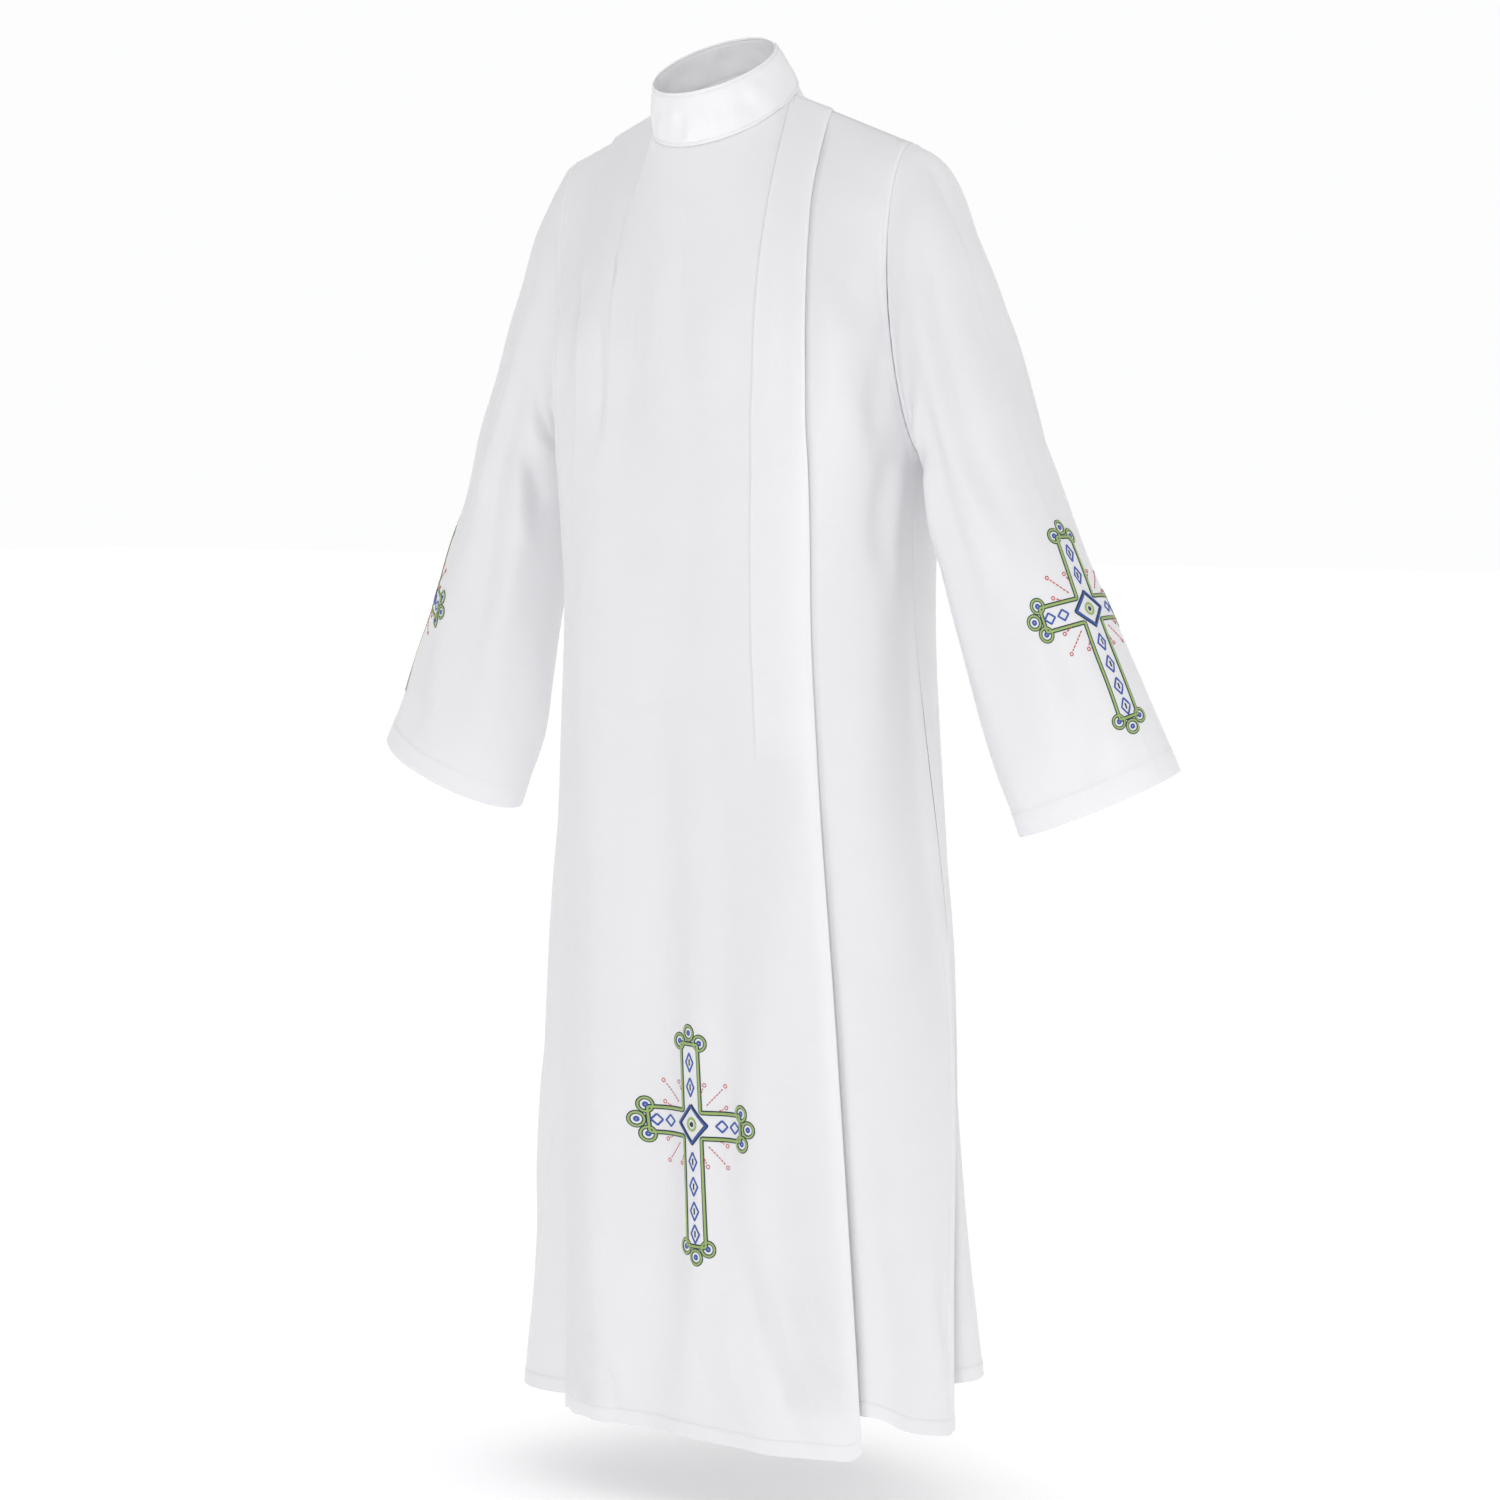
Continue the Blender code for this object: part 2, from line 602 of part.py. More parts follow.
def tube_normals(grid):
    """Outward normals of a tube's grid of rows up and columns round."""
    round_step = np.roll(grid, -1, axis=1) - np.roll(grid, 1, axis=1)
    up_step = np.empty_like(grid)
    up_step[1:-1] = grid[2:] - grid[:-2]
    up_step[0] = grid[1] - grid[0]
    up_step[-1] = grid[-1] - grid[-2]
    return unit(np.cross(round_step, up_step))


def sleeve(name, side):
    grid, at_armhole = sleeve_grid()
    grid = drawn_in(grid, bottom=True)
    mirror = np.array([side, 1.0, 1.0])
    if side > 0:
        grid = grid[:, ::-1]
        at_armhole = at_armhole[::-1]
    grid = grid[::-1] * mirror
    across = tube_normals(grid)
    across[-1] = on_seam(across[-1], at_armhole * mirror)
    wall(name, grid, across, True)


def collar_turns():
    """Turns of the collar's columns: those of the neck seam, with the two ends lapped."""
    front = NECK_POINT_TURN * neck_lines()
    back = NECK_POINT_TURN + (180.0 - NECK_POINT_TURN) * neck_lines()
    once = np.concatenate([back, 360.0 - back[::-1][1:], 360.0 - front[::-1][1:], 360.0 + front[1:]])
    return np.concatenate([once[1:], 360.0 + back[1:4]])


def collar():
    """Band with its ends lapped at the wearer's left, the front end outside."""
    turn = collar_turns()[None, :]
    up = np.linspace(0.0, 1.0, COLLAR_ROWS + 1)[:, None]
    lap = smooth((turn - 360.0 - COLLAR_LAP_START) / (COLLAR_LAP_END - COLLAR_LAP_START))
    lap_rise = smooth((turn - 360.0 - COLLAR_RISE_START) / (COLLAR_RISE_END - COLLAR_RISE_START))
    low = circle_point(NECK, turn)
    low[..., 2] += COLLAR_LAP_RISE * lap_rise
    high = circle_point(RIM, turn)
    middle = low + (high - low) * up[..., None]
    off = COLLAR_BULGE * np.sin(np.pi * up) + (CLOTH + LAYER_ROOM) * lap
    across = grid_normals(middle)
    middle = middle + across * off[..., None]
    across[0] = collar_across(turn[0])
    middle = drawn_in(middle, bottom=True)
    wall("collar", middle, across, False)


def clear_scene():
    for old in list(bpy.data.objects):
        bpy.data.objects.remove(old)


def main():
    clear_scene()
    collar()
    front_panel()
    front_left_panel()
    back_panel()
    sleeve("sleeve_left", 1)
    sleeve("sleeve_right", -1)


main()
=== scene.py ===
import math
from collections import namedtuple

import bpy
import numpy as np
from mathutils import Matrix, Vector


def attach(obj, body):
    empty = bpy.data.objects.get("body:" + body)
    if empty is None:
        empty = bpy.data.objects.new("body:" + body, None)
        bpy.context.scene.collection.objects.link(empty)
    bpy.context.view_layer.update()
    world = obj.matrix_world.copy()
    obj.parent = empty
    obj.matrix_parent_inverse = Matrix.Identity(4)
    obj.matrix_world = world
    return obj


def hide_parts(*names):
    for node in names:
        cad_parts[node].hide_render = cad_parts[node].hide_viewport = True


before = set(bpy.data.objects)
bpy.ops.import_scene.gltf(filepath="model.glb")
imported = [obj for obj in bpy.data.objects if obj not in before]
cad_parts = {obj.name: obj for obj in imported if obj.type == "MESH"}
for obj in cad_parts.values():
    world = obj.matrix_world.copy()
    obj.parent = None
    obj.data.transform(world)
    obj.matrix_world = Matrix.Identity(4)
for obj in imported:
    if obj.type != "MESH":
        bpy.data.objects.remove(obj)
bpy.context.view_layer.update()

# Sizes of the robe, the same as the solids have. Heights count up from the front hem.
CLOTH = 0.0012
SHELL = 0.0009
SHOULDER_HEIGHT = 1.325
SHOULDER_TIP = (0.206, 0.009, 1.301)
UNDERARM_HEIGHT = 0.995
YOKE_LENGTH = 0.37
NECK_POINT_TURN = 107.0
VENT_HEIGHT = 0.50

Circle = namedtuple("Circle", "radius centre_y centre_height rise")
NECK = Circle(radius=0.0725, centre_y=-0.0226, centre_height=1.343, rise=0.042)
RIM = Circle(radius=0.0613, centre_y=-0.0425, centre_height=1.3855, rise=0.0325)
COLLAR_LAP_START = 47.0
COLLAR_LAP_END = 107.0
COLLAR_BULGE = 0.0015
COLLAR_TALL = 0.052
COLLAR_MEAN_RADIUS = 0.068


def table(kind, rows):
    """A table whose columns carry the kind's names."""
    return [kind(*row) for row in rows]


Section = namedtuple("Section", "height half_width front back")
SECTIONS = table(Section, [
    (0.0, 0.2612, -0.13, 0.176), (0.2, 0.244, -0.124, 0.163), (0.45, 0.2255, -0.118, 0.154),
    (0.7, 0.2075, -0.115, 0.147), (0.9, 0.203, -0.116, 0.143), (UNDERARM_HEIGHT, 0.213, -0.117, 0.142),
])
SQUARENESS = 0.05

# Upright lines of the cloth: 0 at the middle of the neck, 1 at the neck point, 2 up the side seam and
# the armhole, minus on the wearer's right. Turns are degrees round the body, from the front.
Line = namedtuple("Line", "line hem_turn chest_turn")
FOLD_LINE = -1.60
EDGE_LINE = 1.34
UNDERLAP_LINE = 0.75
PLEAT_TURN_LINE = -1.30
FRONT_LINES = table(Line, [
    (-2.0, -90.0, -90.0), (FOLD_LINE, -28.0, -33.0), (-1.0, -16.0, -20.0), (0.0, 9.0, 5.0),
    (1.0, 36.0, 30.0), (EDGE_LINE, 48.5, 42.0), (2.0, 90.0, 90.0),
])
BACK_LINES = table(Line, [
    (-2.0, -90.0, -90.0), (-1.0, -158.0, -158.0), (0.0, -180.0, -180.0), (1.0, -202.0, -202.0),
    (2.0, -270.0, -270.0),
])
Lean = namedtuple("Lean", "line front back inward")
LEANS = table(Lean, [
    (0.0, 8.0, 25.0, 0.0), (0.8, 33.0, 46.0, 8.0), (1.0, 41.0, 50.0, 9.0), (1.4, 40.0, 48.0, 4.0),
    (2.0, 38.0, 44.0, 0.0),
])
ARMHOLE_FRONT_DEPTH = 0.043
ARMHOLE_BACK_DEPTH = 0.062
ARMHOLE_HOLLOW = 0.006
ARMHOLE_SKEW = 0.15

Hem = namedtuple("Hem", "line height")
SIDE_HEM = table(Hem, [(-2.0, 0.0), (-1.78, 0.011), (-1.5, 0.024), (-1.0, 0.026)])
FRONT_HEM = table(Hem, [(-1.5, 0.003), (0.0, -0.003), (1.3, -0.006)])
LEFT_HEM = table(Hem, [(0.75, 0.04), (1.4, 0.036), (1.68, 0.016), (2.0, 0.004)])
BACK_HEM = table(Hem, [(-2.0, 0.05), (0.0, 0.045), (2.0, 0.05)])
CORNER_RISE = 0.007
CORNER_REACH = 0.014

LAYER_ROOM = 0.0006
PLEAT_ROOM_AT_HEM = 0.004
PLEAT_PAST = 0.006
PLEAT_BLEND = 0.032
LAP_WIDTH = 0.080
LAP_BLEND = 0.050
LAP_ROOM_AT_HEM = 0.008
LAP_ROOM_END = 1.2
VENT_EASE = 0.002
VENT_TUCK = 0.024
VENT_TUCK_GROWTH = 1.6
VENT_REACH = 0.016
VENT_REACH_START = 0.35
VENT_BLEND = 0.052

# Sideways set of a seam or a fold at each level, plus toward the wearer's left
Aside = namedtuple("Aside", "level by")
FOLD_ASIDE = table(Aside, [
    (0.0, 0.021), (0.09, 0.0145), (0.17, 0.0095), (0.26, 0.003), (0.35, -0.0015), (0.52, -0.0037),
    (0.69, -0.0085), (0.8, -0.008), (0.9, -0.002), (1.0, 0.006), (1.1, 0.012), (1.25, 0.013),
    (1.4, 0.0105), (1.55, 0.0065), (1.75, 0.001), (2.0, 0.0),
])
VENT_ASIDE = table(Aside, [
    (0.0, -0.011), (0.12, 0.005), (0.3, 0.03), (0.45, 0.039), (0.58, 0.033), (0.78, 0.011), (0.94, 0.0),
])
PLEAT_SINK = 0.009

Fold = namedtuple("Fold", "line half_width depth end")
FRONT_FOLDS = table(Fold, [
    (-0.55, 0.45, -0.004, 0.75), (0.55, 0.5, 0.005, 0.9), (1.72, 0.22, -0.006, 0.55),
    (-1.8, 0.2, -0.006, 0.55),
])
BACK_FOLDS = table(Fold, [
    (-1.35, 0.3, -0.012, 0.95), (-0.75, 0.4, 0.01, 0.9), (0.05, 0.45, -0.011, 1.0),
    (0.85, 0.4, 0.01, 0.85), (1.4, 0.3, -0.011, 0.95),
])

Cut = namedtuple("Cut", "outer_x outer_height inner_x inner_height middle_y half_depth")
SLEEVE_CUTS = table(Cut, [
    (0.2065, 1.3, 0.2145, 0.995, 0.0165, 0.0515), (0.232, 1.278, 0.218, 0.993, 0.022, 0.062),
    (0.258, 1.221, 0.221, 0.988, 0.028, 0.07), (0.286, 1.146, 0.225, 0.978, 0.031, 0.075),
    (0.318, 1.056, 0.229, 0.958, 0.03, 0.075), (0.35, 0.978, 0.236, 0.916, 0.029, 0.071),
    (0.385, 0.902, 0.249, 0.848, 0.03, 0.065), (0.42, 0.826, 0.269, 0.768, 0.034, 0.061),
    (0.456, 0.752, 0.295, 0.69, 0.038, 0.058), (0.492, 0.683, 0.3225, 0.6185, 0.038, 0.054),
])
SLEEVE_OUTER_LENGTH = 0.69
SLEEVE_LEAVE = 0.0035
SLEEVE_LEAVE_TOP = 0.0011
SLEEVE_HEAD_FADE = 0.25
CUFF_SLANT = 0.014
FAR_CUFF_SLANT = 0.004
STEP = 0.004

# Finish: hems, seams and stitches
HEM_DEPTH = 0.017
CUFF_HEM_DEPTH = 0.026
VENT_HEM_DEPTH = 0.013
WELT_DEPTH = 0.0062
STITCH_IN = 0.0016
TOP_FADE = 0.030
SIDE_FADE = 0.022
BACK_SIDE_FADE = 0.030
SEAM_DIP = 0.0022
TABLE_STEPS = 260
PLACKET_WIDTH = 0.062
PLACKET_END = 0.68
STITCH_LENGTH = 0.0030
STITCH_GAP = 0.0009
THREAD = 0.00032

# Creases in a piece's own flat sizes: metres across and up, from the piece's middle line and its hem.
# Depth is outward, so a trough is minus.
Crease = namedtuple("Crease", "x0 y0 x1 y1 width depth")
FRONT_CREASES = table(Crease, [
    (-0.118, 0.02, -0.1, 0.8, 0.026, 0.0075), (-0.058, 0.01, -0.036, 0.9, 0.028, -0.0085),
    (-0.004, 0.0, 0.0, 0.58, 0.019, 0.0045), (0.034, 0.16, 0.036, 0.86, 0.022, -0.0055),
    (0.104, 0.24, 0.112, 1.12, 0.03, 0.0075), (0.08, 0.3, 0.084, 0.7, 0.013, 0.0022),
    (-0.066, -0.12, -0.048, 0.4, 0.028, -0.007), (-0.128, -0.12, -0.114, 0.38, 0.02, 0.0055),
    (0.03, 0.21, 0.125, -0.01, 0.014, -0.0078), (0.062, 0.215, 0.152, 0.0, 0.013, 0.007),
    (0.098, 0.2, 0.166, 0.04, 0.009, -0.0045), (0.002, 0.15, 0.078, -0.008, 0.012, 0.005),
    (-0.028, 0.12, 0.036, -0.006, 0.01, -0.004), (-0.17, 0.12, -0.108, 0.002, 0.01, -0.0048),
    (-0.146, 0.115, -0.086, 0.0, 0.009, 0.0038), (-0.19, 0.07, -0.14, -0.006, 0.008, 0.0026),
    (-0.085, 1.26, -0.06, 0.98, 0.022, -0.005), (-0.04, 1.28, -0.015, 1.02, 0.016, 0.003),
    (0.02, 1.24, 0.05, 0.84, 0.024, 0.0035), (-0.12, 1.1, -0.04, 0.86, 0.026, -0.0035),
    (-0.15, 0.95, -0.11, 0.55, 0.014, 0.003), (-0.02, 0.96, 0.01, 0.66, 0.02, -0.0028),
    (-0.205, 0.34, -0.285, 0.1, 0.014, -0.005), (-0.225, 0.4, -0.3, 0.16, 0.012, 0.0035),
    (-0.215, 0.95, -0.235, 0.5, 0.016, -0.003), (-0.165, 1.2, -0.195, 1.02, 0.012, -0.004),
    (-0.182, 1.22, -0.215, 1.04, 0.008, 0.0022),
])
LEFT_CREASES = table(Crease, [
    (0.198, 0.98, 0.19, 0.4, 0.026, 0.007), (0.246, 0.9, 0.24, 0.36, 0.018, -0.005),
    (0.275, 0.6, 0.285, 0.2, 0.015, 0.0035), (0.185, 0.4, 0.215, 0.08, 0.016, -0.0035),
    (0.235, 0.2, 0.275, 0.05, 0.011, 0.0034), (0.255, 0.17, 0.3, 0.045, 0.009, -0.0032),
    (0.2, 1.28, 0.19, 1.12, 0.018, -0.0042), (0.165, 1.22, 0.185, 0.98, 0.02, 0.0038),
    (0.228, 1.14, 0.205, 0.98, 0.016, -0.005), (0.24, 1.04, 0.19, 0.86, 0.013, -0.004),
    (0.248, 1.02, 0.212, 0.82, 0.01, 0.003),
])
BACK_CREASE_GAIN = 1.45
BACK_CREASES = table(Crease, [
    (-0.27, 0.02, -0.215, 0.85, 0.02, -0.006), (-0.205, 0.0, -0.175, 0.8, 0.018, 0.0055),
    (-0.13, 0.0, -0.115, 0.92, 0.021, -0.006), (-0.05, 0.0, -0.04, 0.88, 0.019, 0.005),
    (0.03, 0.0, 0.025, 0.95, 0.022, -0.006), (0.11, 0.0, 0.095, 0.84, 0.018, 0.0055),
    (0.19, 0.0, 0.16, 0.9, 0.02, -0.0055), (0.265, 0.03, 0.22, 0.8, 0.017, 0.005),
    (-0.09, 1.24, -0.145, 1.0, 0.02, -0.0045), (0.085, 1.25, 0.15, 1.02, 0.019, -0.0048),
    (-0.12, 0.26, -0.02, 0.06, 0.012, -0.0036), (0.06, 0.3, 0.15, 0.07, 0.013, 0.0036),
    (-0.01, 1.22, 0.005, 1.0, 0.024, 0.0035), (-0.23, 1.05, -0.17, 0.88, 0.014, -0.004),
    (0.235, 1.06, 0.175, 0.9, 0.014, -0.0042),
])
# On the collar the chart is turn in degrees by share of its height
COLLAR_CREASES = table(Crease, [
    (3.0, 0.1, -5.0, 0.62, 4.0, -0.0022), (9.0, 0.06, 4.0, 0.5, 4.0, 0.0013),
    (70.0, 0.2, 40.0, 0.72, 5.0, -0.0018), (84.0, 0.3, 62.0, 0.86, 5.0, 0.0016),
    (-38.0, 0.16, -26.0, 0.76, 5.0, -0.0013), (28.0, 0.2, 20.0, 0.85, 6.0, 0.001),
])
# On a sleeve the chart is turn in degrees by share of the length from shoulder to cuff
SleeveCrease = namedtuple("SleeveCrease", "turn0 share0 turn1 share1 width depth")
SLEEVE_CREASES = table(SleeveCrease, [
    (128.0, 0.16, 122.0, 0.97, 15.0, 0.005), (100.0, 0.2, 104.0, 0.96, 14.0, -0.0062),
    (84.0, 0.06, 76.0, 0.72, 15.0, 0.005), (62.0, 0.1, 58.0, 0.8, 15.0, -0.0048),
    (40.0, 0.05, 38.0, 0.6, 15.0, 0.004), (66.0, 0.7, 84.0, 0.97, 12.0, 0.0034),
    (48.0, 0.76, 66.0, 0.98, 11.0, -0.0034), (30.0, 0.8, 46.0, 0.97, 9.0, 0.0026),
    (118.0, 0.34, 150.0, 0.56, 12.0, -0.0045), (112.0, 0.42, 144.0, 0.64, 10.0, 0.0034),
    (138.0, 0.1, 160.0, 0.3, 13.0, -0.004), (20.0, 0.02, 12.0, 0.3, 13.0, -0.0034),
    (-34.0, 0.05, -44.0, 0.7, 16.0, -0.005), (-58.0, 0.1, -66.0, 0.95, 15.0, 0.0052),
    (-88.0, 0.08, -86.0, 0.9, 17.0, -0.006), (-114.0, 0.14, -112.0, 0.97, 15.0, 0.0048),
    (-140.0, 0.3, -134.0, 0.98, 14.0, -0.0046), (-120.0, 0.38, -156.0, 0.58, 11.0, -0.004),
])


def smooth(rise):
    rise = np.clip(rise, 0.0, 1.0)
    return rise * rise * (3.0 - 2.0 * rise)


def through(places, values, at):
    """Smooth curve through a table's rows, level beyond its ends."""
    places = np.asarray(places, float)
    values = np.asarray(values, float)
    at = np.clip(np.asarray(at, float), places[0], places[-1])
    secants = np.abs(np.diff(values) / np.diff(places))
    steepest = 2.5 * np.minimum(np.append(secants, np.inf), np.append(np.inf, secants))
    slopes = np.clip(np.gradient(values, places), -steepest, steepest)
    low = np.clip(np.searchsorted(places, at, side="right") - 1, 0, len(places) - 2)
    span = places[low + 1] - places[low]
    t = (at - places[low]) / span
    start = values[low] * (1.0 + 2.0 * t) * (1.0 - t) ** 2
    end = values[low + 1] * t * t * (3.0 - 2.0 * t)
    bend = span * (slopes[low] * t * (1.0 - t) ** 2 - slopes[low + 1] * t * t * (1.0 - t))
    return start + end + bend


def curve(rows, at, name=None):
    """Smooth curve of a table's named column, or its second one, over its first one."""
    values = [getattr(row, name) if name else row[1] for row in rows]
    return through([row[0] for row in rows], values, at)


def unit(vectors):
    return vectors / np.linalg.norm(vectors, axis=-1, keepdims=True)


def ring_point(turn, height):
    half_width, front, back = (curve(SECTIONS, height, name) for name in Section._fields[1:])
    turn = np.radians(turn)
    side = (np.sin(turn) + SQUARENESS * np.sin(3.0 * turn)) / (1.0 - SQUARENESS)
    ahead = (np.cos(turn) - SQUARENESS * np.cos(3.0 * turn)) / (1.0 - SQUARENESS)
    y = 0.5 * (front + back) - 0.5 * (back - front) * ahead
    return np.stack([half_width * side, y, height + 0.0 * side], axis=-1)


def circle_point(circle, turn):
    turn = np.radians(turn)
    return np.stack([
        circle.radius * np.sin(turn),
        circle.centre_y - circle.radius * np.cos(turn),
        circle.centre_height - circle.rise * np.cos(turn),
    ], axis=-1)


def armhole_point(turn, depth):
    turn = np.radians(turn)
    down = 0.5 * (1.0 - np.cos(turn))
    tip = np.asarray(SHOULDER_TIP)
    underarm = ring_point(90.0, UNDERARM_HEIGHT)
    point = tip + (underarm - tip) * down[..., None]
    point[..., 0] -= ARMHOLE_HOLLOW * np.sin(turn) ** 2
    point[..., 1] += depth * np.sin(turn) * (1.0 + ARMHOLE_SKEW * np.cos(turn))
    return point


def top_point(line, back):
    size = np.abs(line)
    neck_turn = NECK_POINT_TURN * np.minimum(size, 1.0)
    if back:
        neck_turn = 180.0 - (180.0 - NECK_POINT_TURN) * np.minimum(size, 1.0)
    neck = circle_point(NECK, neck_turn)
    share = np.clip(size - 1.0, 0.0, 1.0)[..., None]
    point = neck * (1.0 - share) + np.asarray(SHOULDER_TIP) * share
    point[..., 0] *= np.where(line < 0.0, -1.0, 1.0)
    return point


def line_turn(line, height, back):
    lines = BACK_LINES if back else FRONT_LINES
    share = smooth(height / UNDERARM_HEIGHT)
    return curve(lines, line, "hem_turn") * (1.0 - share) + curve(lines, line, "chest_turn") * share


def plain_yoke(line, low, rise, t, back):
    top = top_point(line, back)
    reach = np.linalg.norm(top - low, axis=-1)[..., None]
    lean = np.radians(curve(LEANS, np.abs(line), "back" if back else "front"))
    inward = np.radians(curve(LEANS, np.abs(line), "inward"))
    toward = -1.0 if back else 1.0
    end = np.stack([
        (top - low)[..., 0] / reach[..., 0] - np.sin(inward) * np.sign(line),
        toward * np.sin(lean),
        np.cos(lean),
    ], axis=-1)
    return (
        low * (1.0 + 2.0 * t) * (1.0 - t) ** 2
        + top * t * t * (3.0 - 2.0 * t)
        + reach * (rise * t * (1.0 - t) ** 2 - end * t * t * (1.0 - t))
    )


def ring_and_rise(line, height, back):
    point = ring_point(line_turn(line, height, back), height)
    under = height - STEP
    return point, (point - ring_point(line_turn(line, under, back), under)) / STEP


def body_point(line, level, hem, back):
    """Middle of the cloth. Level 0 is the hem, 1 the underarm and 2 the top end."""
    line, level, hem = np.broadcast_arrays(line, level, hem)
    line = line.astype(float)
    height = hem + (UNDERARM_HEIGHT - hem) * np.clip(level, 0.0, 1.0)
    t = np.clip(level - 1.0, 0.0, 1.0)
    low, rise = ring_and_rise(line, height, back)
    yoke = plain_yoke(line, low, rise, t[..., None], back)
    side = np.where(line < 0.0, -2.0, 2.0)
    side_low, side_rise = ring_and_rise(side, height, back)
    plain_side = plain_yoke(side, side_low, side_rise, t[..., None], back)
    depth = ARMHOLE_BACK_DEPTH if back else -ARMHOLE_FRONT_DEPTH
    armhole = armhole_point(np.degrees(np.arccos(2.0 * t - 1.0)), depth)
    armhole[..., 0] *= 0.5 * side
    near_side = smooth(np.abs(line) - 1.0)[..., None]
    yoke = yoke + near_side * (armhole - plain_side)
    return np.where(t[..., None] > 0.0, yoke, low)


def body_frame(line, level, hem, back):
    point = body_point(line, level, hem, back)
    before = body_point(np.maximum(line - STEP, -2.0), level, hem, back)
    after = body_point(np.minimum(line + STEP, 2.0), level, hem, back)
    lower = body_point(line, np.maximum(level - STEP, 0.0), hem, back)
    upper = body_point(line, np.minimum(level + STEP, 2.0), hem, back)
    along = unit(after - before)
    normal = unit(np.cross(along, upper - lower))
    return point, along, -normal if back else normal


def fold_depth(line, level, back):
    push = 0.0 * (line + level)
    for fold in BACK_FOLDS if back else FRONT_FOLDS:
        across = 0.5 + 0.5 * np.cos(np.pi * np.clip((line - fold.line) / fold.half_width, -1.0, 1.0))
        push = push + fold.depth * across * smooth(1.0 - level / fold.end)
    return push


def edge_aside(level):
    return -0.0075 * smooth((level - 0.85) / 0.25) * smooth((2.0 - level) / 0.35)


def vent_opening(level):
    return np.clip(1.0 - level * UNDERARM_HEIGHT / VENT_HEIGHT, 0.0, 1.0)


def steps_up(grid):
    step = np.empty_like(grid)
    step[1:-1] = unit(grid[2:] - grid[1:-1]) + unit(grid[1:-1] - grid[:-2])
    step[0] = grid[1] - grid[0]
    step[-1] = grid[-1] - grid[-2]
    return step


def grid_normals(grid):
    round_step = steps_up(grid.swapaxes(0, 1)).swapaxes(0, 1)
    return unit(np.cross(round_step, steps_up(grid)))


def tube_normals(grid):
    round_step = unit(np.roll(grid, -1, axis=1) - grid) + unit(grid - np.roll(grid, 1, axis=1))
    return unit(np.cross(round_step, steps_up(grid)))


def lengths_across(points):
    steps = np.linalg.norm(np.diff(points, axis=1), axis=-1)
    return np.concatenate([np.zeros((len(points), 1)), np.cumsum(steps, axis=1)], axis=1)


def waver(x, y, scale, seed):
    """Smooth, uneven waves about 0, their size about 1, from a fixed seed."""
    rng = np.random.default_rng(seed)
    total = 0.0 * (x + y)
    for _ in range(7):
        heading = rng.uniform(0.0, math.pi)
        pitch = scale * rng.uniform(0.6, 1.7)
        phase = rng.uniform(0.0, 2.0 * math.pi)
        run = x * math.cos(heading) + y * math.sin(heading)
        total = total + np.sin(2.0 * math.pi * run / pitch + phase)
    return total / 2.6


def crease_depth(creases, x, y, stretch=1.0):
    """Sum of soft troughs and ridges laid out in a flat chart."""
    total = 0.0 * (x + y)
    for ax, ay, bx, by, width, depth in creases:
        ay, by = ay * stretch, by * stretch
        run = math.hypot(bx - ax, by - ay)
        ux, uy = (bx - ax) / run, (by - ay) / run
        py = y * stretch
        s = (x - ax) * ux + (py - ay) * uy
        off = (x - ax) * uy - (py - ay) * ux
        off = off + 0.25 * width * np.sin(2.6 * math.pi * s / run + 13.0 * width)
        ends = smooth(s / (0.3 * run)) * smooth((run - s) / (0.35 * run))
        total = total + depth * ends * np.exp(-((off / width) ** 2))
    return total


def band(distance, depth, rise=0.00045, groove=0.00055, width=0.0009):
    """Outward step of a turned hem, and the dip along its stitch line."""
    step = rise * smooth((depth - distance) / 0.0030 + 0.5)
    return step - groove * np.exp(-(((distance - depth + STITCH_IN) / width) ** 2))


def evenly(length, start, end, count):
    """Distances along each row: close ones near both ends, the rest even between them."""
    start = np.asarray(start, float)
    end = np.asarray(end, float)
    share = np.linspace(0.0, 1.0, count + 2)[1:-1]
    low = start[-1]
    high = length - end[-1]
    middle = low + (high - low) * share
    first = np.broadcast_to(start, (len(length), len(start)))
    last = length - end[::-1]
    return np.concatenate([first, middle, last], axis=1)


def lines_at(first, last, level, hem_rows, start, end, count, back=False):
    """Lines whose points lie at set distances along each row between two lines."""
    table = np.broadcast_to(np.linspace(first, last, TABLE_STEPS), (len(level), TABLE_STEPS))
    lengths = lengths_across(body_point(table, level, curve(hem_rows, table), back))
    wanted = evenly(lengths[:, -1:], start, end, count)
    found = [np.interp(w, s, t) for w, s, t in zip(wanted, lengths, table)]
    return np.array(found), wanted, lengths[:, -1:] - wanted


def levels():
    """Rows of a body panel: close at the hem's edge and its stitch line."""
    low = np.array([
        0.0, 0.0006, 0.0020, 0.0050, 0.0100, 0.0136, 0.0146, 0.0154, 0.0162, 0.0174, 0.0195,
    ]) / UNDERARM_HEIGHT
    middle = np.linspace(0.026 / UNDERARM_HEIGHT, 1.0, 112)
    high = 1.5 - 0.5 * np.cos(np.linspace(0.0, np.pi, 46)[1:])
    high = 0.5 * high + 0.5 * np.linspace(1.0, 2.0, 46)[1:]
    return np.concatenate([low, middle, high])[:, None]


def from_hem(level):
    return np.clip(level, 0.0, 1.0) * UNDERARM_HEIGHT


def chart_x(line, level, back):
    """Distance across the cloth from line 0, plus toward the wearer's left."""
    table = np.broadcast_to(np.linspace(-2.0, 2.0, TABLE_STEPS), (len(level), TABLE_STEPS))
    lengths = lengths_across(body_point(table, level, 0.0, back))
    x = np.array([np.interp(w, t, s) for w, t, s in zip(line, table, lengths)])
    zero = np.array([np.interp(0.0, t, s) for t, s in zip(table, lengths)])
    return x - zero[:, None]


# Shells and materials


def link(thing):
    bpy.context.scene.collection.objects.link(thing)
    return thing


